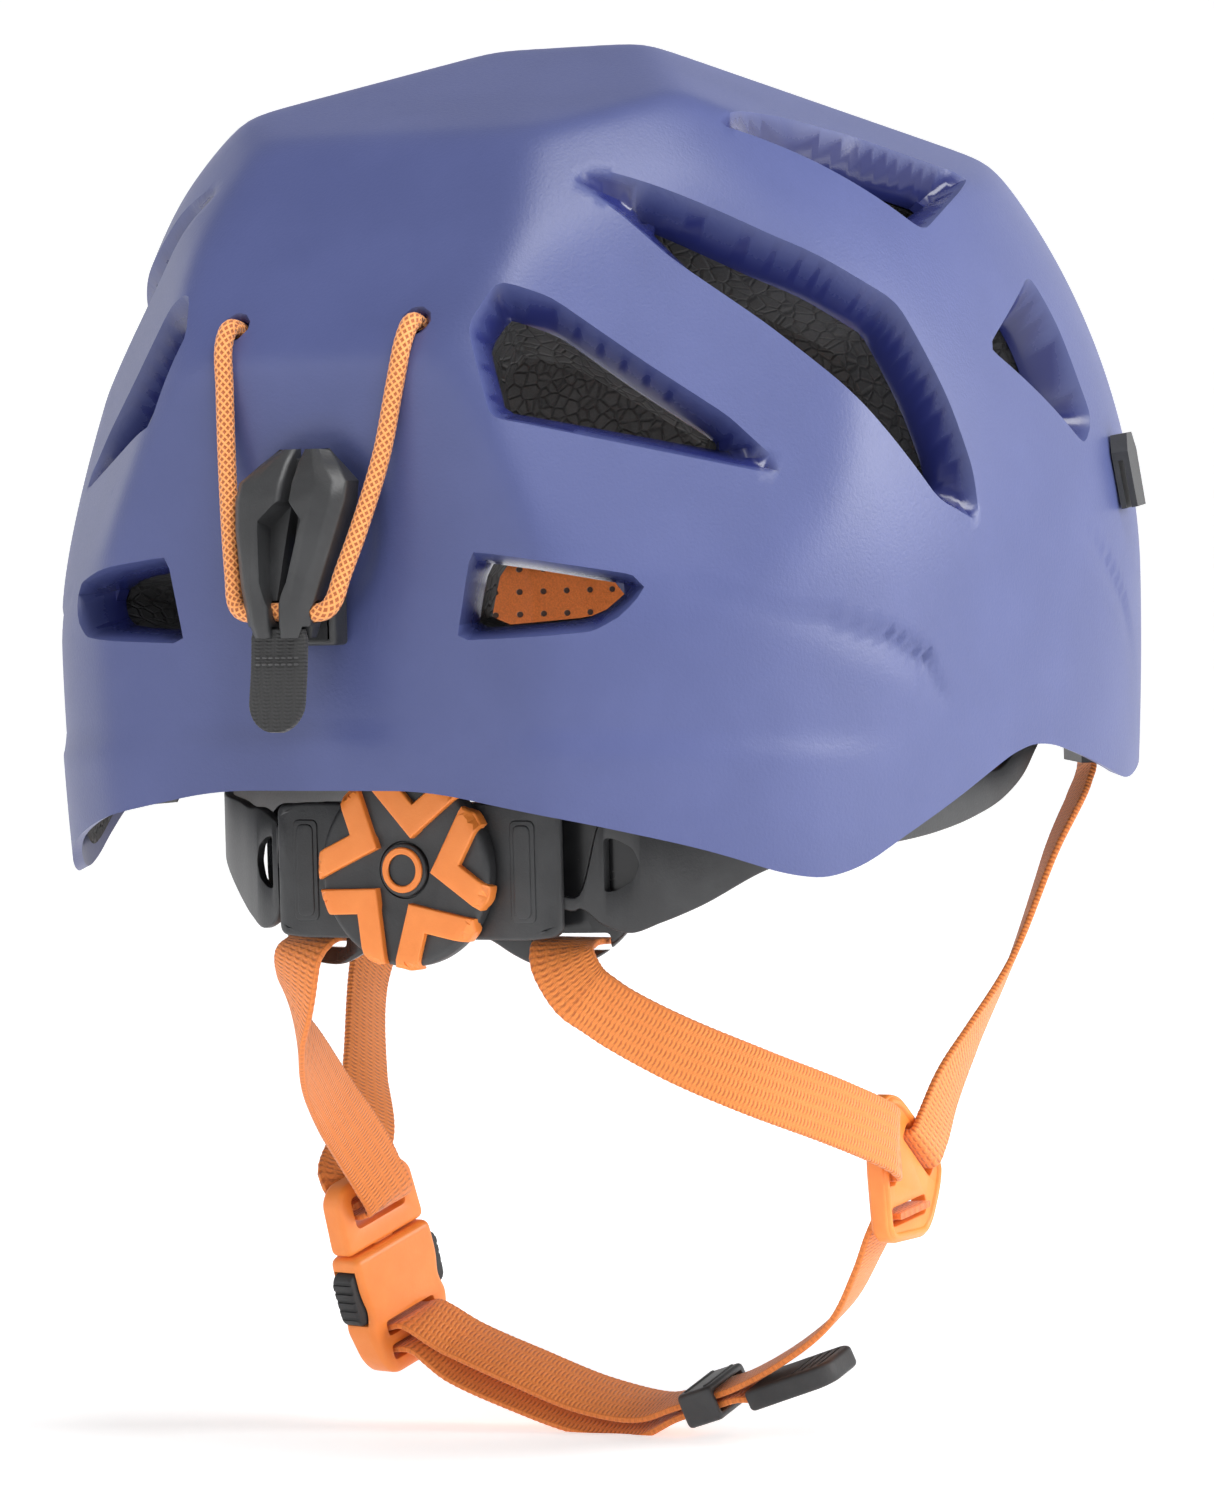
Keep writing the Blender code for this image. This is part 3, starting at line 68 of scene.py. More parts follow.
def shaded(obj, sharpAngle):
    obj.data.shade_smooth()
    obj.data.set_sharp_from_angle(angle=math.radians(sharpAngle))


def makeMesh(name, points, faces, look, body, stands=(), loopUv=None, sharpAngle=38, values=None):
    mesh = bpy.data.meshes.new(name)
    mesh.from_pydata((np.asarray(points) * mm).tolist(), [], faces)
    if loopUv is not None:
        layer = mesh.uv_layers.new(name="UVMap")
        layer.data.foreach_set("uv", np.asarray(loopUv, np.float32).ravel())
    for key, array in (values or {}).items():
        mesh.attributes.new(key, "FLOAT", "POINT").data.foreach_set("value", np.asarray(array, np.float32))
    obj = added(name, mesh)
    shaded(obj, sharpAngle)
    if look:
        mesh.materials.append(look)
    if body:
        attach(obj, body)
    if stands:
        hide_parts(*stands)
    return obj


def tubeFaces(rows, count, caps=True):
    # quads between successive rings, with the uv corner numbers on a grid one column wider
    i, j = np.meshgrid(np.arange(rows - 1), np.arange(count), indexing="ij")
    k = (j + 1) % count
    quads = np.stack([i * count + j, i * count + k, (i + 1) * count + k, (i + 1) * count + j], -1)
    quads = quads.reshape(-1, 4)
    wide = count + 1
    corners = np.stack([i * wide + j, i * wide + j + 1, (i + 1) * wide + j + 1, (i + 1) * wide + j],
                       -1).reshape(-1)
    faces = quads.tolist()
    if caps:
        faces.append(list(range(count))[::-1])
        faces.append(list(range((rows - 1) * count, rows * count)))
        ends = np.concatenate([np.arange(count)[::-1], (rows - 1) * wide + np.arange(count)])
        corners = np.concatenate([corners, ends])
    return faces, corners


def smoothPath(stations, spacing, sharp=0.5):
    # Catmull-Rom curve through the stations, parameter growing with a power of the chord, read at even steps
    s = np.asarray(stations, float)
    chord = np.linalg.norm(np.diff(s[:, :3], axis=0), axis=1)
    knots = np.concatenate([[0], np.cumsum(chord ** sharp)])
    gaps = np.diff(knots)[:, None]
    slopes = np.diff(s, axis=0) / gaps
    between = (slopes[1:] * gaps[:-1] + slopes[:-1] * gaps[1:]) / (gaps[1:] + gaps[:-1])
    tangents = np.vstack([slopes[:1], between, slopes[-1:]])
    fine = np.linspace(0, 1, 40)[:, None]
    parts = []
    for k in range(len(s) - 1):
        h = gaps[k]
        parts.append((2 * fine ** 3 - 3 * fine ** 2 + 1) * s[k]
                     + (fine ** 3 - 2 * fine ** 2 + fine) * h * tangents[k]
                     + (-2 * fine ** 3 + 3 * fine ** 2) * s[k + 1]
                     + (fine ** 3 - fine ** 2) * h * tangents[k + 1])
    dense = np.vstack(parts)
    run = np.concatenate([[0], np.cumsum(np.linalg.norm(np.diff(dense[:, :3], axis=0), axis=1))])
    at = np.linspace(0, run[-1], max(3, int(run[-1] / spacing)))
    return np.stack([np.interp(at, run, dense[:, c]) for c in range(dense.shape[1])], 1), at


def roundedSection(halfU, halfV, radius, arc=4):
    # rounded rectangle whose half sizes may change along the path:
    # corner sign times (half - radius) plus an arc
    turn = (np.arange(4)[:, None] * 90 + np.linspace(0, 90, arc)[None, :]).ravel()
    sign = np.repeat(np.array([[1, 1], [-1, 1], [-1, -1], [1, -1]]), arc, axis=0)
    round_ = np.stack([np.cos(np.radians(turn)), np.sin(np.radians(turn))], 1) * radius
    halves = np.stack(np.broadcast_arrays(np.asarray(halfU, float), np.asarray(halfV, float)), -1)
    return sign[None] * (halves.reshape(-1, 1, 2) - radius) + round_[None]


def sweep(name, centres, uDir, vDir, section, look, body, stands=(), along=None, sharpAngle=50):
    # each ring is centre + u * uDir + v * vDir
    n = len(centres)
    section = np.broadcast_to(section, (n,) + section.shape[-2:])
    points = centres[:, None] + section[..., :1] * uDir[:, None] + section[..., 1:] * vDir[:, None]
    count = section.shape[1]
    faces, corners = tubeFaces(n, count)
    if along is None:
        along = np.concatenate([[0], np.cumsum(np.linalg.norm(np.diff(centres, axis=0), axis=1))])
    wide = np.concatenate([section[..., 0], section[:, :1, 0]], 1)
    uv = np.stack([wide, np.broadcast_to(along[:, None], wide.shape)], -1).reshape(-1, 2)
    return makeMesh(name, points.reshape(-1, 3), faces, look, body, stands, uv[corners], sharpAngle)


def roundOutline(outline, radius, steps=6):
    # every corner becomes a parabola between points set back along its two sides
    p = np.asarray(outline, float)
    before, after = np.roll(p, 1, 0) - p, np.roll(p, -1, 0) - p
    a, b = np.linalg.norm(before, axis=1), np.linalg.norm(after, axis=1)
    r = np.minimum(np.broadcast_to(radius, a.shape), np.minimum(a, b) * 0.48)[:, None]
    start, end = p + unit(before) * r, p + unit(after) * r
    t = np.linspace(0, 1, steps)[None, :, None]
    curve = (1 - t) ** 2 * start[:, None] + 2 * t * (1 - t) * p[:, None] + t ** 2 * end[:, None]
    return curve.reshape(-1, 2)


def inward(outline):
    # unit normals that point into an outline, whichever way it runs
    edge = unit(np.roll(outline, -1, 0) - np.roll(outline, 1, 0))
    x, y = outline[:, 0], outline[:, 1]
    area = (x * np.roll(y, -1) - np.roll(x, -1) * y).sum()
    return np.stack([-edge[:, 1], edge[:, 0]], 1) * np.sign(area)


def pillow(name, outline, low, high, radius, place, look=None, body=None, stands=(), steps=4):
    # an outline run from low to high, its two rims rounded by quarter circles
    # place maps (u, v, w) to the helmet
    turn = np.linspace(0, math.pi / 2, steps)
    offsets = np.concatenate([radius * (1 - np.sin(turn)), radius * (1 - np.cos(turn))])
    levels = np.concatenate([low + radius * (1 - np.cos(turn)), high - radius * (1 - np.sin(turn))])
    normals = inward(outline)
    rings = outline[None] + normals[None] * offsets[:, None, None]
    uvw = np.concatenate([rings, np.broadcast_to(levels[:, None, None], rings.shape[:2] + (1,))], -1)
    points = place(uvw.reshape(-1, 3))
    faces, _ = tubeFaces(len(levels), len(outline))
    obj = makeMesh(name, points, faces, look, None, stands)
    turnOutwards(obj)
    if body:
        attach(obj, body)
    return obj


def turnOutwards(obj):
    tool = bmesh.new()
    tool.from_mesh(obj.data)
    bmesh.ops.remove_doubles(tool, verts=tool.verts, dist=1e-6)
    bmesh.ops.recalc_face_normals(tool, faces=tool.faces)
    tool.to_mesh(obj.data)
    tool.free()


def planePlace(centre, x, y, z):
    c, x, y, z = (np.asarray(a, float) for a in (centre, x, y, z))
    return lambda p: c + p[:, :1] * x + p[:, 1:2] * y + p[:, 2:] * z


# u across the back, v up and w backwards
fromBehind = planePlace((0, 0, 0), (1, 0, 0), (0, 0, 1), (0, 1, 0))


def applied(obj):
    mesh = bpy.data.meshes.new_from_object(obj.evaluated_get(bpy.context.evaluated_depsgraph_get()))
    obj.modifiers.clear()
    old = obj.data
    obj.data = mesh
    bpy.data.meshes.remove(old)
    return obj


def carve(obj, cutters, soften=0.35, sharpAngle=38):
    # Booleans with the cutters, then a small round on the new edges
    for cutter in cutters:
        change = obj.modifiers.new("cut", "BOOLEAN")
        change.operation = "DIFFERENCE"
        change.object = cutter
        change.solver = "EXACT"
    if soften:
        edges = obj.modifiers.new("edges", "BEVEL")
        edges.width = soften * mm
        edges.segments = 2
        edges.limit_method = "ANGLE"
        edges.angle_limit = math.radians(46)
    applied(obj)
    for cutter in cutters:
        bpy.data.objects.remove(cutter)
    shaded(obj, sharpAngle)
    return obj


def turned(name, levels, centre, axis, side, look, body, stands=(), steps=64, sharpAngle=40):
    # a profile of (distance along axis, radius) turned round the axis
    profile = np.asarray(levels, float)
    angle = np.arange(steps) * 2 * math.pi / steps
    axis, side = np.asarray(axis, float), np.asarray(side, float)
    other = np.cross(axis, side)
    ring = np.cos(angle)[:, None] * side + np.sin(angle)[:, None] * other
    points = np.asarray(centre, float) + profile[:, None, :1] * axis + profile[:, None, 1:] * ring[None]
    faces, _ = tubeFaces(len(profile), steps)
    obj = makeMesh(name, points.reshape(-1, 3), faces, look, None, stands, None, sharpAngle)
    turnOutwards(obj)
    if body:
        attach(obj, body)
    return obj


# Materials: a wrapped socket adds up like a number, and each operation adds its Math node.


class Amount:
    def __init__(self, look, socket):
        self.look, self.socket = look, socket

    def math(self, operation, *others):
        sockets = dict(enumerate((self,) + others))
        return self.look.node("Math", {"operation": operation}, sockets)

    def __add__(self, other):
        return self.math("ADD", other)

    def __sub__(self, other):
        return self.math("SUBTRACT", other)

    def __rsub__(self, other):
        return self.look.node("Math", {"operation": "SUBTRACT"}, {0: other, 1: self})

    def __mul__(self, other):
        return self.math("MULTIPLY", other)

    __radd__ = __add__
    __rmul__ = __mul__

    def sin(self):
        return self.math("SINE")

    def abs(self):
        return self.math("ABSOLUTE")

    def steps(self, low, high):
        return self.look.node("MapRange", {"interpolation_type": "SMOOTHSTEP"}, {0: self, 1: low, 2: high})


class Look:
    def __init__(self, name):
        self.material = bpy.data.materials.new(name)
        self.material.use_nodes = True
        self.tree = self.material.node_tree
        self.shader = self.tree.nodes["Principled BSDF"]

    def put(self, socket, value):
        if isinstance(value, Amount):
            self.tree.links.new(value.socket, socket)
        elif hasattr(socket.default_value, "__len__") and not hasattr(value, "__len__"):
            socket.default_value = [value] * len(socket.default_value)
        else:
            length = len(socket.default_value) if hasattr(socket.default_value, "__len__") else 0
            socket.default_value = tuple(value) + (1.0,) * (length - len(value)) if length else value

    def node(self, kind, settings=None, values=None, output=0):
        made = self.tree.nodes.new("ShaderNode" + kind)
        for key, value in (settings or {}).items():
            setattr(made, key, value)
        for key, value in (values or {}).items():
            self.put(made.inputs[key], value)
        return Amount(self, made.outputs[output])

    def place(self, scale=1.0, kind="Object"):
        # millimetres on the helmet, or on the piece's own uv map, divided by the pattern's size
        source = self.node("TexCoord", output=kind)
        factor = (1 / mm if kind == "Object" else 1.0) * scale
        return self.node("VectorMath", {"operation": "SCALE"}, {0: source, "Scale": factor})

    def noise(self, size, detail=3, rough=0.5):
        return self.node("TexNoise", {}, {"Vector": self.place(1 / size), "Scale": 1.0, "Detail": detail,
                                          "Roughness": rough})

    def cells(self, size, feature="F1", output="Distance"):
        return self.node("TexVoronoi", {"feature": feature}, {"Vector": self.place(1 / size), "Scale": 1.0},
                         output)

    def parts(self, kind="UV"):
        split = self.tree.nodes.new("ShaderNodeSeparateXYZ")
        self.put(split.inputs[0], self.place(1.0, kind))
        return [Amount(self, o) for o in split.outputs]

    def mix(self, factor, a, b):
        made = self.tree.nodes.new("ShaderNodeMix")
        made.data_type = "RGBA"
        self.put(made.inputs[0], factor)
        self.put(made.inputs[6], a)
        self.put(made.inputs[7], b)
        return Amount(self, made.outputs[2])

    def attribute(self, name):
        return self.node("Attribute", {"attribute_name": name}, {}, "Fac")

    def bump(self, height, distance, strength=1.0):
        return self.node("Bump", {}, {"Height": height, "Distance": distance * mm, "Strength": strength})

    def finish(self, colour, roughness, normal=None, **constants):
        self.put(self.shader.inputs["Base Color"], colour)
        self.put(self.shader.inputs["Roughness"], roughness)
        if normal is not None:
            self.put(self.shader.inputs["Normal"], normal)
        for key, value in constants.items():
            self.shader.inputs[key.replace("_", " ")].default_value = value
        return self.material


# the wall colour is painted shade on the vent walls, darker than the paint
shellTone = {"paint": (0.058, 0.073, 0.196), "light": (0.066, 0.082, 0.214), "wall": (0.018, 0.023, 0.115),
             "grain": 0.75, "grainDepth": 0.07, "gloss": 0.40, "wallGloss": 0.16}


def shellLook():
    look = Look("grainedShell")
    recess = look.attribute("recess")
    grain = look.noise(shellTone["grain"], 2, 0.6)
    cloud = look.noise(26.0, 3, 0.5)
    colour = look.mix(cloud.steps(0.3, 0.75), shellTone["paint"], shellTone["light"])
    # vent walls painted dark blue: painted shade in the recesses; the same mask makes them glossy and smooth
    colour = look.mix(recess, colour, shellTone["wall"])
    scuff = look.noise(9.0, 5, 0.7).steps(0.62, 0.82)
    inWall = recess * (shellTone["gloss"] - shellTone["wallGloss"])
    roughness = shellTone["gloss"] + scuff * 0.08 + grain * 0.08 - inWall
    normal = look.bump(grain * (1 - recess), shellTone["grainDepth"], 1.0)
    return look.finish(colour, roughness, normal, Coat_Weight=0.0, Specular_IOR_Level=0.5)


foamTone = {"bead": 3.2, "grain": 0.8, "depth": 0.5, "roughness": 0.62, "seam": (0.006, 0.006, 0.0065),
            "face": (0.034, 0.034, 0.035), "speck": (0.075, 0.075, 0.078), "darkBead": (0.012, 0.012, 0.013),
            "lightBead": (0.055, 0.055, 0.057)}


def foamLook():
    # moulded beads: dark seams between the cells, and a tone of its own for each cell
    look = Look("beadFoam")
    seam = look.cells(foamTone["bead"], "DISTANCE_TO_EDGE")
    pick = look.cells(foamTone["bead"], "F1", "Color")
    fine = look.noise(foamTone["grain"], 4, 0.7)
    colour = look.mix(seam.steps(0.0, 0.12), foamTone["seam"], foamTone["face"])
    colour = look.mix(fine.steps(0.35, 0.7) * 0.5, colour, foamTone["speck"])
    colour = look.mix(0.35, colour, look.mix(pick, foamTone["darkBead"], foamTone["lightBead"]))
    normal = look.bump(seam.steps(0.0, 0.16) + fine * 0.3, foamTone["depth"], 0.8)
    return look.finish(colour, foamTone["roughness"] + fine * 0.2, normal)


def mouldedLook(name, colour, lighter, gloss, grain=0.55, depth=0.05):
    look = Look(name)
    fine = look.noise(grain, 2, 0.6)
    broad = look.noise(14.0, 4, 0.6)
    tone = look.mix(broad.steps(0.35, 0.75), colour, lighter)
    wear = look.noise(4.0, 5, 0.7).steps(0.6, 0.8)
    return look.finish(tone, gloss + wear * 0.08 + fine * 0.08, look.bump(fine, depth, 1.0))


weave = {"column": 1.35, "yarn": 0.68, "lean": 1.6, "edgeShadeFrom": 6.7, "depth": 0.22}


def webbingLook(name, colour, paintedShade, light, rib=1.05):
    # picks across the band, and fine pairs of yarns that lean alternately along it
    look = Look(name)
    across, along, _ = look.parts("UV")
    pick = (along * (math.pi / rib)).sin().abs()
    column = (across * (math.pi / weave["column"])).sin()
    lean = ((along * (2 * math.pi / rib)) + column * weave["lean"]).sin()
    height = pick * 0.6 + lean * 0.2 + (across * (2 * math.pi / weave["yarn"])).sin().abs() * 0.25
    fuzz = look.noise(0.35, 3, 0.7)
    # the weave's low parts painted darker: painted shade in the valleys
    tone = look.mix(height.steps(0.15, 0.75), paintedShade, colour)
    tone = look.mix(fuzz.steps(0.45, 0.8) * 0.35, tone, light)
    # the band painted darker near its two edges: painted shade
    edgeShade = (across.abs() - weave["edgeShadeFrom"]).steps(0.0, 0.35) * 0.25
    tone = look.mix(edgeShade, tone, paintedShade)
    normal = look.bump(height + fuzz * 0.25, weave["depth"], 0.9)
    return look.finish(tone, 0.58 + fuzz * 0.2, normal, Sheen_Weight=0.25, Sheen_Roughness=0.4)


def braidLook():
    # two families of strands wound opposite ways round the cord
    look = Look("braidedCord")
    around, along, _ = look.parts("UV")
    one = (around * 8.0 + along * 3.6).sin()
    two = (around * 8.0 - along * 3.6).sin()
    strands = one.math("MAXIMUM", two)
    fuzz = look.noise(0.3, 3, 0.7)
    # the gaps between the strands painted dark orange: painted shade
    tone = look.mix(strands.steps(-0.2, 0.9), (0.42, 0.10, 0.015), (0.93, 0.36, 0.10))
    tone = look.mix(fuzz.steps(0.5, 0.8) * 0.3, tone, (1.0, 0.55, 0.25))
    return look.finish(tone, 0.55, look.bump(strands + fuzz * 0.3, 0.16, 0.9), Sheen_Weight=0.2)


def padLook(name, colour, hole, spacing):
    # brushed knit with a staggered grid of punched dots, the dots painted dark as painted shade inside the
    # holes
    look = Look(name)
    x, y, z = look.parts("Object")
    flat = x.abs() + y * 0.35
    column = (flat * (math.pi / spacing)).sin()
    row = (z * (math.pi / spacing)).sin()
    dots = ((column * row).abs() - 0.9).steps(0.0, 0.04)
    knit = look.noise(0.5, 4, 0.75)
    tone = look.mix(knit.steps(0.3, 0.7), tuple(c * 0.72 for c in colour), colour)
    # the holes painted dark: painted shade
    tone = look.mix(dots, tone, hole)
    return look.finish(tone, 0.82, look.bump(knit * 0.4 - dots, 0.5, 0.8), Sheen_Weight=0.3)


looks = {
    "shell": shellLook(),
    "foam": foamLook(),
    "black": mouldedLook("blackMoulding", (0.022, 0.0225, 0.024), (0.036, 0.037, 0.039), 0.40),
    "gloss": mouldedLook("glossyMoulding", (0.014, 0.0145, 0.016), (0.022, 0.0225, 0.024), 0.20, 2.5, 0.03),
    "orange": mouldedLook("orangeMoulding", (0.83, 0.225, 0.035), (0.89, 0.265, 0.05), 0.36, 0.6, 0.035),
    "rubber": mouldedLook("softRubber", (0.016, 0.016, 0.017), (0.03, 0.03, 0.031), 0.55, 0.5, 0.06),
    # the second colour of each webbing is its painted shade
    "web": webbingLook("orangeWebbing", (0.86, 0.255, 0.045), (0.50, 0.115, 0.015), (0.97, 0.42, 0.14)),
    "tape": webbingLook("blackWebbing", (0.022, 0.022, 0.023), (0.008, 0.008, 0.008), (0.06, 0.06, 0.06),
                        0.8),
    "cord": braidLook(),
    "brow": padLook("perforatedPad", (0.80, 0.20, 0.03), (0.05, 0.02, 0.01), 5.5),
    "nape": padLook("napePad", (0.035, 0.035, 0.037), (0.006, 0.006, 0.006), 6.5),
}
print("materials made")

# Hard shell and foam: one surface over all directions from the headband's middle

helmet = {"halfWidth": 112.0, "rear": 140.0, "front": 147.0, "height": 144.0, "depth": 330.0,
          "planPower": 2.22,
          "profilePower": 1.94, "sharpness": 105.0,
          "flats": [(0, 37.4, 132.4, 0), (0, 0, 126.3, 0), (0, 73.4, 122.2, 0), (180, 71, 113.7, 0),
                    (48.7, 18.4, 122.0, 1), (38.8, 36.7, 134.1, 1), (96, 63.9, 119.5, 1),
                    (135.8, 41, 138.0, 1)],
          "edge": [(0, -40), (12, -40), (25, -46), (38, -53.5), (48, -61), (54, -61), (64, -52), (78, -40.5),
                   (84, -36.5), (90, -36), (98, -39), (118, -47.5), (128, -45), (145, -39), (165, -36),
                   (180, -35)],
          "wall": 2.4, "ventDepth": 9.0}


def outerRadius(d):
    # 1 / (body^s + sum of (n.d / distance)^s)^(1/s): a rounded body met by flat planes, s being the sharpness
    x, y, z = d[..., 0], d[..., 1], d[..., 2]
    length = np.where(y > 0, helmet["rear"], helmet["front"])
    high = np.where(z > 0, helmet["height"], helmet["depth"])
    p, q, s = helmet["planPower"], helmet["profilePower"], helmet["sharpness"]
    plan = (np.abs(x / helmet["halfWidth"]) ** p + np.abs(y / length) ** p) ** (1 / p)
    body = (plan ** q + np.abs(z / high) ** q) ** (1 / q)
    total = body ** s
    for azimuth, elevation, distance, both in helmet["flats"]:
        for side in (1, -1) if both else (1,):
            n = heading(azimuth * side, elevation)
            total = total + (np.maximum(0, d @ n) / distance) ** s
    return 1 / total ** (1 / s)


headSpace = {"halfWidth": 93.0, "rear": 106.0, "front": 124.0, "crown": 103.0, "power": 2.22}


def cavityRadius(d):
    # inside of the foam: a superellipse in plan, closed by a lower crown
    length, p = np.where(d[..., 1] > 0, headSpace["rear"], headSpace["front"]), headSpace["power"]
    plan = (np.abs(d[..., 0] / headSpace["halfWidth"]) ** p + np.abs(d[..., 1] / length) ** p) ** (1 / p)
    return 1 / (plan ** p + (np.maximum(0, d[..., 2]) / headSpace["crown"]) ** p) ** (1 / p)


def edgeElevation(azimuths, raised=0.0):
    # elevation where the surface meets the lower edge's height, found by halving
    fold = np.abs((azimuths + 180) % 360 - 180)
    knots = np.array(helmet["edge"], float)
    window = np.linspace(-4.0, 4.0, 17)
    near = np.abs(fold[:, None] + window[None])
    near = np.where(near > 180, 360 - near, near)
    target = np.interp(near, knots[:, 0], knots[:, 1]).mean(1) + raised
    low, high = np.full_like(fold, -50.0), np.full_like(fold, 10.0)
    for _ in range(34):
        middle = (low + high) / 2
        d = heading(azimuths, middle)
        above = d[..., 2] * outerRadius(d) > target
        low, high = np.where(above, low, middle), np.where(above, middle, high)
    return (low + high) / 2


# vent: centre azimuth and elevation, outline at the surface, outline of the opening in its floor
vents = {
    "upper": (80, 51, [(-48, 7), (-33, 12), (-13, 15), (10, 12), (25, 4), (40, -3), (28, -10), (-1, -25)],
              [(-36, 5), (-27, 8), (-12, 10), (8, 7), (20, 1), (31, -4), (22, -8), (0, -17)]),
    "middle": (55, 29, [(-51, 36), (-45, 38), (-29, 29), (-7, 17), (12, 9), (24, 5), (38, -17), (47, -35),
                        (50, -50), (31, -44), (8, -22), (-13, -2), (-32, 14)],
               [(-35, 29), (-33, 32), (-20, 25), (-4, 17), (10, 10), (21, 3), (33, -17), (40, -31), (43, -41),
                (32, -38), (9, -19), (-11, 1), (-27, 18)]),
    "front": (104, 24, [(4, 22), (9, 10), (11, -4), (14, -13), (4, -19), (-36, 8)],
              [(4, 17), (7, 8), (8, -4), (10, -10), (4, -14), (-27, 8)]),
    "rear": (31, 22, [(-24, 18), (-30, 8), (-26, -12), (37, -22), (39, -20), (25, -8), (6, 3), (-13, 15)],
             [(-24, 15), (-28, 9), (-25, -8), (27, -14), (29, -13), (17, -6), (5, 2), (-13, 12)]),
    "lower": (26, 0, [(-22, 11), (-26, -9), (5, -7), (11, -4), (17, 2), (14, 5)],
              [(-20, 9), (-24, -7), (3, -5), (8, -3), (14, 2), (12, 3)]),
}
turn16 = np.linspace(0, 2 * math.pi, 16, endpoint=False)


def ringOf(r):
    return np.stack([np.cos(turn16), np.sin(turn16)], 1) * r


cordHole = unit(np.array([22.6, 119.6, 59.1]))
holeAzimuth = math.degrees(math.atan2(cordHole[0], cordHole[1]))
vents["cord"] = (holeAzimuth, math.degrees(math.asin(cordHole[2])), ringOf(3.9).tolist(),
                 ringOf(2.7).tolist())
ventReach = {"cord": 1.6}
ventLedge = {"cord": 1.1, "lower": 1.9, "rear": 2.4, "front": 2.4}
ventRound = {"cord": (1.0, 1.0), "lower": (1.6, 1.2), "rear": (2.4, 1.8)}


def ventPlane(name, side):
    azimuth, elevation = vents[name][:2]
    d = heading(azimuth, elevation)
    across = heading(azimuth + 90, 0.0)
    up = np.cross(across, d)
    up = up * np.sign(up[2])
    reach = outerRadius(d)
    flip = np.array([side, 1.0, 1.0])
    return d * flip, across * flip, up * flip, float(reach)


def outlineDistance(q, outline):
    # signed distance to a closed outline, positive inside, and the nearest point on it
    a, b = outline, np.roll(outline, -1, 0)
    ab = b - a
    best, near = np.full(len(q), 1e9), np.zeros_like(q)
    inside = np.zeros(len(q), bool)
    for k in range(len(a)):
        t = np.clip(((q - a[k]) @ ab[k]) / (ab[k] @ ab[k]), 0, 1)
        foot = a[k] + t[:, None] * ab[k]
        gap = np.linalg.norm(q - foot, axis=1)
        closer = gap < best
        best, near[closer] = np.where(closer, gap, best), foot[closer]
        spans = (a[k, 1] > q[:, 1]) != (b[k, 1] > q[:, 1])
        rise = np.where(ab[k, 1] == 0, 1e-9, ab[k, 1])
        inside ^= spans & (q[:, 0] < a[k, 0] + (q[:, 1] - a[k, 1]) / rise * ab[k, 0])
    return np.where(inside, best, -best), near


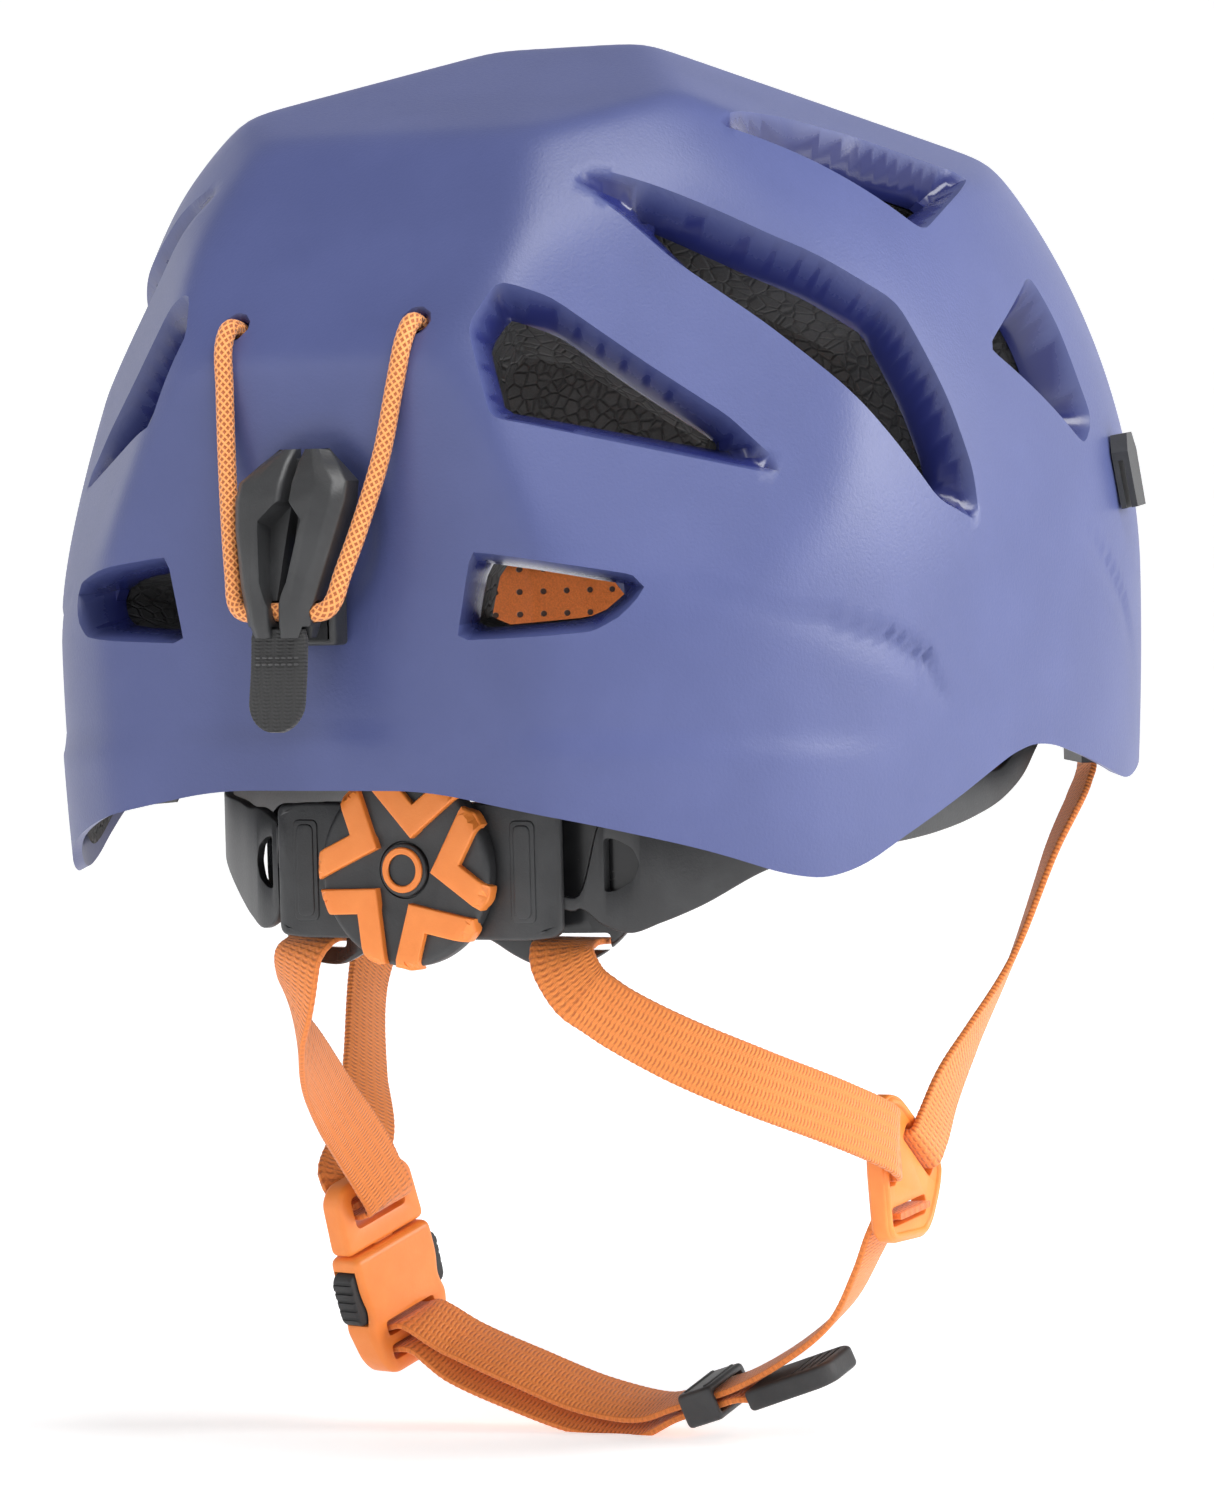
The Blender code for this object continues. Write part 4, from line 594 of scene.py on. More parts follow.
class Bowl:
    # a grid of directions whose points are drawn onto the outlines of the vents, so that every rim is crisp
    def __init__(self, columns, rows, raised=0.0, grow=0.0):
        self.columns, self.rows = columns, rows
        azimuths = np.arange(columns) * 360.0 / columns
        low = edgeElevation(azimuths)
        lift = edgeElevation(azimuths, raised) if raised else low
        step = np.arange(1, rows + 1)[:, None] / rows
        elevation = 90 + (low[None] - 90) * step
        elevation[-1] = lift
        self.directions = heading(np.broadcast_to(azimuths, elevation.shape), elevation)
        shape = self.directions.shape[:2]
        self.wall, self.open, self.edge = np.zeros(shape), np.full(shape, -1e3), np.full(shape, -1e3)
        self.depth = np.zeros(shape)
        for name in vents:
            for side in (1, -1):
                self.press(name, side, grow)

    def measure(self, mask, plane, outline):
        d, across, up, reach = plane
        rays = self.directions[mask]
        forward = rays @ d
        q = np.stack([(rays @ across) / forward, (rays @ up) / forward], 1) * reach
        return (q,) + outlineDistance(q, outline)

    def narrowed(self, q, sOut, near, inner, ledge):
        # distance to the opening: its own outline, kept at least a ledge inside the outer one
        sIn, nearIn = outlineDistance(q, inner)
        inwards = unit(q - near) * np.sign(sOut)[:, None]
        tight = sOut - ledge < sIn
        return np.where(tight, sOut - ledge, sIn), np.where(tight[:, None], near + inwards * ledge, nearIn)

    def press(self, name, side, grow):
        plane = ventPlane(name, side)
        d, across, up, reach = plane
        r = ventRound.get(name, (4.0, 3.0))
        outer, inner = roundOutline(vents[name][2], r[0]), roundOutline(vents[name][3], r[1])
        if grow:
            outer, inner = outer - inward(outer) * grow, inner - inward(inner) * grow
        size = np.abs(np.array(vents[name][2])).max()
        cone = self.directions @ d > math.cos(math.atan((size * 1.35 + 14) / reach))
        taken = np.zeros(self.open.shape, bool)
        ledge = ventLedge.get(name, 2.8)
        for inside in (False, True):
            s = np.full(self.open.shape, -1e3)
            q, value, near = self.measure(cone, plane, outer)
            if inside:
                value, near = self.narrowed(q, value, near, inner, ledge)
            s[cone] = value
            pull = np.zeros(s.shape, bool)
            shifts = (lambda a: np.roll(a, -1, 1), lambda a: np.roll(a, 1, 1),
                      lambda a: np.vstack([a[1:], a[-1:]]),
                      lambda a: np.vstack([a[:1], a[:-1]]))
            for shift in shifts:
                other = shift(s)
                pull |= (s * other < 0) & ((np.abs(s) <= np.abs(other)) | shift(taken))
            pull &= cone & ~taken & (np.abs(s) < 6)
            target = near[pull[cone]]
            self.directions[pull] = unit(d * reach + target[:, :1] * across + target[:, 1:] * up)
            taken |= pull
        q, sOut, near = self.measure(cone, plane, outer)
        sIn, _ = self.narrowed(q, sOut, near, inner, ledge)
        sOut, sIn = np.where(np.abs(sOut) < 1e-4, 0, sOut), np.where(np.abs(sIn) < 1e-4, 0, sIn)
        slope = np.clip(sOut / np.maximum(sOut - sIn, 1e-6), 0, 1)
        self.wall[cone] = np.maximum(self.wall[cone], slope * (sOut > 0))
        sunk = slope * (sOut > 0) * ventReach.get(name, helmet["ventDepth"])
        self.depth[cone] = np.maximum(self.depth[cone], sunk)
        self.open[cone] = np.maximum(self.open[cone], sIn)
        self.edge[cone] = np.maximum(self.edge[cone], sOut)

    def solid(self, name, outerPoints, innerPoints, poleOut, poleIn, look, body, stands, values=None):
        # outer and inner points over the same grid, no faces inside the openings, and walls along every edge
        n, rows = self.columns, self.rows
        i, j = np.meshgrid(np.arange(rows - 1), np.arange(n), indexing="ij")
        k = (j + 1) % n
        quads = np.stack([i * n + j, (i + 1) * n + j, (i + 1) * n + k, i * n + k], -1).reshape(-1, 4)
        s, e = self.open.ravel()[quads], self.edge.ravel()[quads]
        split = (s[:, 0] * s[:, 2] < 0) | (e[:, 0] * e[:, 2] < 0)
        other = ((s[:, 1] * s[:, 3] < 0) | (e[:, 1] * e[:, 3] < 0)) & ~split
        whole = ~split & ~other & (s.max(1) <= 0)
        bd, ac = quads[split], quads[other]
        tris = np.concatenate([bd[:, [0, 1, 3]], bd[:, [1, 2, 3]], ac[:, [0, 1, 2]], ac[:, [0, 2, 3]]])
        tris = tris[self.open.ravel()[tris].max(1) <= 0]
        quads = quads[whole]
        total = n * rows
        cap = np.stack([np.full(n, total), np.arange(n), (np.arange(n) + 1) % n], 1)
        tris = np.concatenate([tris, cap])
        edges = np.concatenate([quads[:, [0, 1]], quads[:, [1, 2]], quads[:, [2, 3]], quads[:, [3, 0]],
                                tris[:, [0, 1]], tris[:, [1, 2]], tris[:, [2, 0]]])
        key = edges[:, 0].astype(np.int64) * (total + 1) + edges[:, 1]
        back = edges[:, 1].astype(np.int64) * (total + 1) + edges[:, 0]
        rim = edges[~np.isin(key, back)]
        shift = total + 1
        walls = np.stack([rim[:, 1], rim[:, 0], rim[:, 0] + shift, rim[:, 1] + shift], 1)
        faces = quads.tolist() + tris.tolist()
        faces += (quads[:, ::-1] + shift).tolist() + (tris[:, ::-1] + shift).tolist() + walls.tolist()
        points = np.concatenate([outerPoints.reshape(-1, 3), [poleOut], innerPoints.reshape(-1, 3), [poleIn]])
        used = np.zeros(len(points), bool)
        used[np.concatenate([quads.ravel(), tris.ravel()])] = True
        used[total + 1:] = used[:total + 1]
        number = np.cumsum(used) - 1
        faces = [[int(number[v]) for v in f] for f in faces]
        values = {key: array[used] for key, array in (values or {}).items()}
        return makeMesh(name, points[used], faces, look, body, stands, None, 42, values)


# lines pressed into the shell: points on it and the depth at each, deep on one side and fading over the width
creases = {
    "side": ([(-71, 110, 3), (-84, 95, 1), (-97, 77, -5), (-104, 60, -10), (-107, 49, -15), (-108, 40, -26)],
             [0.3, 0.5, 0.9, 1.5, 1.9, 0.2], 9.0),
    "temple": ([(-106, -22, 12), (-106, -38, 4), (-102, -52, -6), (-98, -62, -20)], [0.2, 1.4, 1.9, 0.2],
               9.0),
}


def creaseDepth(points, line, depths, width):
    # one-sided: depth * (1 - distance / width) ^ 1.4 above the line, and a quick fade below it
    line, depths = np.array(line, float), np.array(depths, float)
    total = np.zeros(len(points))
    best = np.full(len(points), 1e9)
    for k in range(len(line) - 1):
        ab = line[k + 1] - line[k]
        t = np.clip(((points - line[k]) @ ab) / (ab @ ab), 0, 1)
        gap = points - (line[k] + t[:, None] * ab)
        far = np.linalg.norm(gap, axis=1)
        above = np.einsum("ij,ij->i", np.cross(np.broadcast_to(ab, points.shape), gap), points) < 0
        deep = depths[k] + (depths[k + 1] - depths[k]) * t
        reach = np.where(above, width, 0.9)
        value = deep * np.clip(1 - far / reach, 0, 1) ** 1.4
        closer = far < best
        total, best = np.where(closer, value, total), np.where(closer, far, best)
    return total


moulding = {"bayFrom": 60, "bayHalf": (17.5, 24.0), "bayHeight": 17, "bayDepth": 1.7, "bandTop": -26,
            "bandSlope": 0.11, "bandFade": 3.0, "bandEnd": 62, "bandEndFade": 12.0, "bandRise": 1.1}


def dressed(points, directions):
    # the moulded form on top of the plain surface: pressed creases, hook bay, flared rear band
    x, y, z = points[:, 0], points[:, 1], points[:, 2]
    move = np.zeros(len(points))
    for line, depths, width in creases.values():
        for side in (1, -1):
            flip = np.array([side, 1.0, 1.0])
            move -= creaseDepth(points * flip, line, depths, width)
    rear = y > moulding["bayFrom"]
    wide, high = moulding["bayHalf"]
    bay = np.clip(1 - np.hypot(x / wide, (z - moulding["bayHeight"]) / high), 0, 1)
    move -= rear * np.clip(bay * 4, 0, 1) ** 1.5 * moulding["bayDepth"]
    azimuth = np.degrees(np.arctan2(np.abs(x), y))
    below = moulding["bandTop"] - moulding["bandSlope"] * azimuth - z
    band = np.clip(below / moulding["bandFade"], 0, 1)
    move += np.clip((moulding["bandEnd"] - azimuth) / moulding["bandEndFade"], 0,
                    1) * band * moulding["bandRise"]
    return points + directions * move[:, None]


shellGrid = Bowl(440, 112)
d = shellGrid.directions
radius = outerRadius(d)
outside = d * (radius - shellGrid.depth)[..., None]
inside = d * (radius - shellGrid.depth - helmet["wall"])[..., None]
flatRays = d.reshape(-1, 3)
surface = flatRays * radius.reshape(-1, 1)
moulded = (dressed(surface, flatRays) - surface) * (1 - shellGrid.wall.reshape(-1, 1))
outsideFlat = outside.reshape(-1, 3) + moulded
insideFlat = inside.reshape(-1, 3) + moulded
# mask of the vent walls: painted shade in the colour, gloss and no grain
recess = np.concatenate([shellGrid.wall.ravel(), [0.0]])
pole = np.array([0, 0, 1.0])
shell = shellGrid.solid("shell", outsideFlat, insideFlat, pole * outerRadius(pole),
                        pole * (outerRadius(pole) - helmet["wall"]), looks["shell"], "shell",
                        ["outer_shell"], {"recess": np.clip(np.concatenate([recess, recess]) * 6, 0, 1)})
print("shell", len(shell.data.polygons))

liner = {"columns": 260, "rows": 70, "raised": 9.0, "grow": 0.9, "gap": 0.7, "crownDrop": 3.1,
         "leastThick": 4,
         "brimThick": 9}
foamGrid = Bowl(liner["columns"], liner["rows"], liner["raised"], liner["grow"])
d = foamGrid.directions
radius = outerRadius(d)
sink = helmet["wall"] + liner["gap"] + np.minimum(foamGrid.wall * 30, 1) * (helmet["ventDepth"] - 0.2)
outside = d * (radius - sink)[..., None]
cavity = np.minimum(cavityRadius(d), radius - sink - liner["leastThick"])
rows = np.arange(1, foamGrid.rows + 1)[:, None] / foamGrid.rows
brim = np.where(rows > 0.99, np.maximum(cavity, radius - sink - liner["brimThick"]), cavity)
foam = foamGrid.solid("foamLiner", outside, d * brim[..., None],
                      pole * (outerRadius(pole) - liner["crownDrop"]),
                      pole * cavityRadius(pole), looks["foam"], "shell", ["eps_liner"])
print("foam", len(foam.data.polygons))

# Straps: woven bands through the same stations as the solids

buckle = {"centre": (61.5, 7.6, -152.0), "yaw": -13.0, "lean": 17.0, "width": 27.0, "thick": 9.0,
          "length": 31.0,
          "frame": 17.0, "maleSlot": 7.4, "slots": (19.4, 25.4), "slotHalf": 1.9, "lever": 13.0,
          "leverCentre": 10.0}
# bx, by and bz run across, along and through the buckle; kx, ky and keeperRun do the same for the keeper
turnBuckle = (Matrix.Rotation(math.radians(buckle["yaw"]), 3, "Z")
              @ Matrix.Rotation(math.radians(-buckle["lean"]), 3, "X"))
bx, by, bz = (np.array(turnBuckle @ Vector(v)) for v in ((0, -1, 0), (0, 0, -1), (1, 0, 0)))
bc = np.array(buckle["centre"])
keeperRun = unit(np.array([-14.0, -0.3, 4.6]))
kx = np.array([0, -0.97, 0.2])
kx = unit(kx - keeperRun * (kx @ keeperRun))
ky = np.cross(keeperRun, kx)
kc = np.array([-21.0, -4.3, -187.0])
maleSlot = bc + by * (buckle["maleSlot"] - buckle["frame"])
upperSlot, lowerSlot = (bc + by * s for s in buckle["slots"])

strapRuns = {
    "right_front_strap": [
        ((-90, -65, -38.8), (-0.6, 0.8, 0)), ((-90, -65, -44.4), (-0.6, 0.8, 0)),
                          ((-89.6, -61.6, -50), (-0.6, 0.8, 0)),
        ((-88, -49.5, -64), (-0.53, 0.85, 0)), ((-84, -35.5, -88), (-0.45, 0.89, 0.1)),
        ((-80, -22, -105), (-0.25, 0.94, 0.2)), ((-78.2, -12, -116), (-0.1, 0.85, 0.5)),
        ((-77.4, -6.4, -124.2), (0, 0.79, 0.62)), ((-76.5, -3.8, -128.0), (0, 0.79, 0.62)),
        ((-73.5, -3.5, -128.4), (0, 0.79, 0.62)), ((-69.8, -3.4, -128.5), (0, 0.79, 0.62))],
    "right_rear_strap": [
        ((-32.5, 72.2, -76.0), (1, 0.3, 0)), ((-32.5, 80.5, -76.3), (1, 0.25, 0)),
                         ((-33.8, 83.6, -79.5), (1, 0.2, -0.2)),
        ((-38, 84, -86), (0.75, 0.1, -0.65)), ((-42, 82.5, -89.4), (0.62, -0.05, -0.78)),
        ((-46, 80.5, -92.5), (0.5, -0.1, -0.86)), ((-56, 73, -99.5), (0.3, -0.1, -0.95)),
        ((-67, 59, -107.5), (0.1, -0.05, -1)), ((-75.5, 36, -116.5), (0, -0.1, -1)),
                         ((-78.4, 17, -123.5), (0, -0.1, -1)),
        ((-77.8, 12.6, -125.6), (0, 0, -1)), ((-76.2, 10.2, -126.8), (0, 0, -1)),
                         ((-73.5, 10.0, -127), (0, 0, -1)),
        ((-69.6, 9.8, -127), (0, 0, -1))],
    "left_front_strap": [
        ((90, -65, -38.8), (0.6, 0.8, 0)), ((90, -65, -44.4), (0.6, 0.8, 0)),
                         ((89.8, -61.4, -50), (0.6, 0.8, 0)),
        ((89, -48, -72), (0.35, 0.93, 0)), ((86, -31, -93), (0, 1, 0)), ((79, -17, -114), (0, 1, -0.1)),
        ((72.5, -6.5, -127), (0.1, 0.95, -0.2)), (maleSlot + bz * 6.4 - by * 4.4 + bx * 0.8, -bx),
        (maleSlot + bz * 3.6 - by * 1.5, -bx), (maleSlot - bz * 2.2 - by * 1.3, -bx)],
    "left_rear_strap": [
        ((32.5, 72.2, -76.0), (1, -0.3, 0)), ((32.5, 80.5, -76.3), (1, -0.25, 0)),
                        ((34, 83.5, -79.5), (1, -0.3, 0.05)),
        ((36.5, 81.5, -87), (0.95, -0.5, 0.2)), ((41, 74, -95.5), (0.6, -0.8, 0.35)),
        ((46, 60, -105.5), (0.1, -0.75, 0.65)), ((51.5, 42, -117), (-0.2, -0.55, 0.75)),
        ((54.6, 26, -128), (-0.3, -0.7, 0.6)), ((55.4, 18.0, -135.2), (-0.25, -0.85, 0.4)),
        (maleSlot - bz * 6.5 - by * 0.4, bx), (maleSlot - bz * 3.4 + by * 1.2, bx),
                        (maleSlot + bz * 2.4 + by * 1.3, bx)],
}
apart = 1.25
chinRun = [
    ((-77.0, 2.0, -141.6), (0, -0.99, 0.1)), ((-73.5, 2.0, -141.8), (0, -0.99, 0.1)),
    ((-70.6, 2.0, -142.3), (0, -0.99, 0.1)), ((-68.4, 1.8, -145.4), (0, -0.98, 0.15)),
    ((-63.6, 0.4, -154.0), (0, -0.95, 0.3)), ((-55, -2.6, -166.0), (0.05, -0.95, 0.3)),
    ((-42, -4.0, -176.0), (0.03, -0.97, 0.25)), (kc + keeperRun * 8 + ky * apart, kx), (kc + ky * apart, kx),
    (kc - keeperRun * 8 + ky * apart, kx), ((-5, -3.7, -190.2), (-0.1, -0.93, 0.3)),
    ((10, -2.4, -188.0), (-0.16, -0.89, 0.38)), ((28, -0.4, -181.6), (-0.2, -0.9, 0.36)),
    ((43, 1.0, -175.8), (-0.22, -0.92, 0.32)), (upperSlot - bz * 7.5 - by * 0.4, bx),
    (upperSlot - bz * 3.0 + by * 0.3, bx), (upperSlot + bz * 4.5 + by * 0.3, bx),
           (upperSlot + bz * 8.0 + by * 1.3, bx),
    (upperSlot + bz * 9.3 + by * 3.0, bx), (lowerSlot + bz * 8.0 - by * 1.3, bx),
           (lowerSlot + bz * 4.5 - by * 0.2, bx),
    (lowerSlot - bz * 3.0 - by * 0.2, bx), (lowerSlot - bz * 8.5 - by * 0.3, bx),
    ((43, 0.2, -182.2), (-0.22, -0.92, 0.32)), ((28, -1.4, -188.0), (-0.2, -0.9, 0.36)),
    ((10, -3.0, -193.2), (-0.16, -0.89, 0.38)), ((-5, -4.2, -194.2), (-0.1, -0.93, 0.3)),
    (kc - keeperRun * 8 - ky * apart, kx), (kc - ky * apart, kx), (kc + keeperRun * 8 - ky * apart, kx),
    (kc + keeperRun * 11.5 - ky * 2.1, kx), (kc + keeperRun * 15 - ky * 2.4, kx)]


web = {"width": 15.0, "thickness": 1.5, "corner": 0.5, "nick": 0.13, "spacing": 0.8}


def webbing(name, stations, body, stands):
    # a flat band along a smooth path, its edges nicked at every pick of the weave
    path, along = smoothPath([list(p) + list(a) for p, a in stations], web["spacing"])
    centres = path[:, :3]
    run = unit(np.gradient(centres, axis=0))
    across = unit(path[:, 3:] - run * (path[:, 3:] * run).sum(1, keepdims=True))
    nick = web["nick"] * (np.arange(len(centres)) % 2)
    halfThick = np.full(len(centres), web["thickness"] / 2)
    section = roundedSection(web["width"] / 2 - nick, halfThick, web["corner"], 3)
    return sweep(name, centres, across, np.cross(run, across), section, looks["web"], body,
                 stands,
                 along, 60)


for name, stations in strapRuns.items():
    rides = None if "rear" in name else "shell"
    band = webbing(name.replace("_", ""), stations, rides, [name])
    if rides is None:
        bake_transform(band)
chin = webbing("chinWebbing", chinRun, None, ["chin_strap"])
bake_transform(chin)
print("straps")

# Elastic cord, hook, tab and the strap-shaped seat behind them

cordStations = [(22.0, 110.6, 54.7), (22.5, 116.6, 57.9), (22.9, 122.2, 59.5), (22.7, 125.4, 55.9),
                (21.4, 127.6, 46),
                (19.4, 130.6, 31), (16.2, 135.0, 16), (13.6, 138.2, 6), (12.2, 139.7, 0.6),
                (10.2, 140.2, -1.4)]
cordStations += [(0, 140.2, -1.5)] + [(-x, y, z) for x, y, z in cordStations[::-1]]
cordForm = {"radius": 2.0, "spacing": 0.7, "uvTurn": 6.0}
path, along = smoothPath(cordStations, cordForm["spacing"])
cordRuns = unit(np.gradient(path, axis=0))
cordSide = unit(np.cross(cordRuns, np.array([0.0, 1.0, 0.2])))
cord = sweep("elasticCord", path, cordSide, np.cross(cordRuns, cordSide), ringOf(cordForm["radius"]),
             looks["cord"], None,
             ["lamp_cord"], along, 60)
# the braid's own uv map: the turn round the cord, then the way along it
wide = np.concatenate([turn16, [2 * math.pi]]) / (2 * math.pi) * cordForm["uvTurn"]
gridShape = (len(path), len(wide))
_, corners = tubeFaces(len(path), len(turn16))
grid = np.stack([np.broadcast_to(wide, gridShape), np.broadcast_to(along[:, None], gridShape)],
                -1).reshape(-1, 2)
cord.data.uv_layers[0].data.foreach_set("uv", grid[corners].astype(np.float32).ravel())
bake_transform(cord)


hook = {"sharpAngle": 32, "groove": 1.6, "cordRadius": 2.45, "cordAt": (140.2, -1.5), "round": 0.55}


def hookHalf(side):
    # one faceted finger: rings across levels, the groove's wall in the middle
    levels = np.array([(33, 6.3, 129.6, 132.6, 1.0), (30, 9.6, 129.4, 135.4, 1.0),
                       (26, 13.6, 129.4, 138.2, 1.0),
                       (22, 13.7, 130.2, 139.8, 1.0), (16, 12.6, 131.4, 141.8, 1.1),
                       (10, 11.2, 132.6, 143.2, 1.2),
                       (4, 9.8, 134.6, 144.6, 1.2), (0, 8.7, 136.0, 145.2, 1.2), (-4, 7.9, 137.0, 145.2, 1.2),
                       (-7, 7.2, 137.7, 144.6, 1.2)])
    rings = []
    for z, half, near, far, gap in levels:
        ring = np.array([(gap, near), (half - 0.8, near), (half, near + 0.9), (half, far - 3.0),
                         (half - 2.2, far - 0.9),
                         (half * 0.55, far), (gap + 0.9, far), (gap, far - 0.9)])
        ring = roundOutline(ring, hook["round"], 4)
        rings.append(np.stack([ring[:, 0] * side, ring[:, 1], np.full(len(ring), z)], 1))
    points = np.concatenate(rings)
    faces, _ = tubeFaces(len(rings), len(rings[0]))
    obj = makeMesh("hookFinger" + ("Left" if side > 0 else "Right"), points, faces, looks["black"], None,
                   (), None,
                   hook["sharpAngle"])
    turnOutwards(obj)
    shaded(obj, hook["sharpAngle"])
    return obj


def cutterFrom(name, outline, low, high, place):
    return pillow(name, np.asarray(outline, float), low, high, 0.01, place, steps=2)


hookParts = []
for side in (1, -1):
    finger = hookHalf(side)
    diamond = cutterFrom("diamondCut", [(0, 15.5), (5.4, 9.5), (3.4, -4), (0.6, -11), (-0.6, -11), (-3.4, -4),
                                        (-5.4, 9.5)],
                         -2.6, 9, planePlace((0, 141.2, 8), (1, 0, 0), unit(np.array([0, -0.32, 1])),
                                             unit(np.array([0, 1, 0.32]))))
    passage = turned("cordWay", [(-12, 0.01), (-12, hook["cordRadius"]), (12, hook["cordRadius"]),
                                 (12, 0.01)], (7 * side,) + hook["cordAt"], (1, 0, 0),
                     (0, 1, 0), None, None, (), 24)
    tabSlot = cutterFrom("tabSlot", [(-20, 140.9), (20, 140.9), (20, 143.3), (-20, 143.3)], -12, -4.6,
                         lambda p: p)
    carve(finger, [diamond, passage, tabSlot], soften=0.25, sharpAngle=34)
    hookParts.append(finger)
bridge = pillow("hookBridge", roundOutline([(-3, 129.8), (3, 129.8), (3, 131.8), (-3, 131.8)], 0.3), 15.5,
                31.0, 0.3,
                planePlace((0, 0, 0), (1, 0, 0), (0, 1, 0), (0, 0, 1)), looks["black"])
floorStrip = pillow("hookFloor", roundOutline([(-3.2, 15), (3.2, 15), (3.2, 29), (-3.2, 29)], 0.6), 0,
                    hook["groove"], 0.3,
                    planePlace((0, 134.4, 0), (1, 0, 0), unit(np.array([0, -0.36, 1])),
                               unit(np.array([0, 1, 0.36]))),
                    looks["black"])
for part in hookParts + [bridge, floorStrip]:
    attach(part, "hook")
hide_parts("lamp_hook")

tabCentre = [(0, 142.1, -5.2), (0, 142.1, -8), (0, 142.6, -14), (0, 143.5, -20), (0, 144.2, -24.5),
             (0, 144.5, -27.0)]
tabPath, tabAlong = smoothPath(tabCentre, 0.35)
# half width: 6.2 at the top growing to 6.8, then a half ellipse below the level where the end begins
pull = {"roundFrom": -20.6, "roundLength": 6.6, "halfWidth": 6.8, "topHalf": 6.2, "halfThick": 0.85,
        "nick": 0.09}
tabZ = tabPath[:, 2]
tabEndRound = np.sqrt(np.clip(1 - ((pull["roundFrom"] - tabZ) / pull["roundLength"]) ** 2, 0.02, 1))
tabWide = np.clip(pull["topHalf"] + (-5 - tabZ) * 0.3, 6.0, pull["halfWidth"])
tabWide = np.where(tabZ < pull["roundFrom"], pull["halfWidth"] * tabEndRound, tabWide) - pull["nick"] * (
    np.arange(len(tabZ)) % 2)
tabRun = unit(np.gradient(tabPath, axis=0))
tabX = np.broadcast_to(np.array([1.0, 0, 0]), tabRun.shape)
tabSection = roundedSection(tabWide, np.full(len(tabZ), pull["halfThick"]), 0.35, 3)
sweep("pullTab", tabPath, tabX, np.cross(tabRun, tabX), tabSection, looks["tape"], "hook",
      ["pull_tab"],
      tabAlong)


def stitches(name, points, normal, length, thick, look, body):
    # a row of short thread capsules lying on a surface, one mesh
    turn = np.linspace(0, 2 * math.pi, 8, endpoint=False)
    allPoints, allFaces, base = [], [], 0
    points = np.asarray(points, float)
    normal = unit(np.asarray(normal, float))
    for a, b in zip(points[:-1], points[1:]):
        step = unit(b - a)
        sideways = np.cross(step, normal)
        middle = (a + b) / 2
        for k, (t, r, lift) in enumerate([(-0.5, 0.25, -0.35), (-0.36, 0.9, 0.1), (0, 1.0, 0.3),
                                          (0.36, 0.9, 0.1),
                                          (0.5, 0.25, -0.35)]):
            ring = (np.cos(turn)[:, None] * sideways + np.sin(turn)[:, None] * normal) * thick * r
            allPoints.append(middle + step * t * length + normal * lift * thick + ring)
        faces, _ = tubeFaces(5, 8)
        allFaces += [[base + v for v in f] for f in faces]
        base += 40
    obj = makeMesh(name, np.concatenate(allPoints), allFaces, look, None, (), None, 60)
    turnOutwards(obj)
    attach(obj, body)
    return obj


threadLook = mouldedLook("blackThread", (0.05, 0.05, 0.052), (0.09, 0.09, 0.092), 0.5, 0.2, 0.05)
for level in (-11.2, -12.6):
    y = np.interp(-level, -tabPath[:, 2], tabPath[:, 1]) + 1.0
    stitches("tabStitch", [(x, y, level) for x in np.arange(-5.6, 5.7, 1.6)], (0, 1, 0.08), 1.15, 0.22,
             threadLook, "hook")
pillow("hookSeat", roundOutline([(-8.5, -9), (8.5, -9), (8.5, 4.6), (6.5, 5), (-6.5, 5), (-8.5, 4.6)], 1.2),
              127.2, 133.9, 1.6, fromBehind, looks["black"], "shell",
              ["hook_base"], 5)
print("hook")

# Dial with raised chevrons, and the housing behind it

dial = {"height": -59.5, "radius": 22.0, "face": 93.8, "low": 89.85, "raise": 1.6, "count": 5, "arm": 2.8,
        "first": 26.0}
dialCentre = (0, dial["face"], dial["height"])
dialEdge = dial["radius"]
steps = np.linspace(0, math.pi / 2, 7)
rim = [(-1.6 + 1.6 * math.sin(t), dialEdge - 2.2 + 1.6 * math.cos(t)) for t in steps]
profile = [(dial["low"] - dial["face"], 3.4), (dial["low"] - dial["face"], dialEdge - 1.0),
           (dial["low"] - dial["face"] + 0.4, dialEdge - 0.6)] + rim + [(0.0, 10.6), (-0.5, 9.6), (-0.5, 6.4),
                                                                        (-1.2, 6.2),
                                                                   (-1.2, 0.01)]
turned("dialKnob", profile, dialCentre, (0, 1, 0), (1, 0, 0), looks["black"], "dial",
              ["dial_knob"], 120, 32)


def chevronOutline(turn):
    # an open V pointing at the centre: two bars between points at(radius, swing), mitred at the point
    def at(radius, swing):
        t = math.radians(turn + swing)
        return np.array((radius * math.cos(t), radius * math.sin(t)))
    half = dial["arm"]
    ends = (at(dialEdge + 0.1, -25), at(11.2, 8), at(dialEdge + 0.1, 27))
    runs = [unit(b - a) for a, b in zip(ends[:-1], ends[1:])]
    sides = [np.array((-r[1], r[0])) * half for r in runs]
    mitre = unit(sides[0] + sides[1])
    reach = half ** 2 / (mitre @ sides[0])
    return np.array([ends[0] + sides[0], ends[1] + mitre * reach, ends[2] + sides[1], ends[2] - sides[1],
                     ends[1] - mitre * reach, ends[0] - sides[0]])


def dialPoint(p):
    # u and v across the dial, w above its face: beyond the flat face the layer follows the rounded rim
    r = np.hypot(p[:, 0], p[:, 1])
    fall = np.maximum(0, r - (dialEdge - 2.2))
    drop = np.where(fall > 0, 1.9 - np.sqrt(np.maximum(0, 1.9 ** 2 - np.minimum(fall, 1.9) ** 2)), 0)
    return np.stack([p[:, 0], dial["face"] + p[:, 2] - drop, dial["height"] + p[:, 1]], 1)


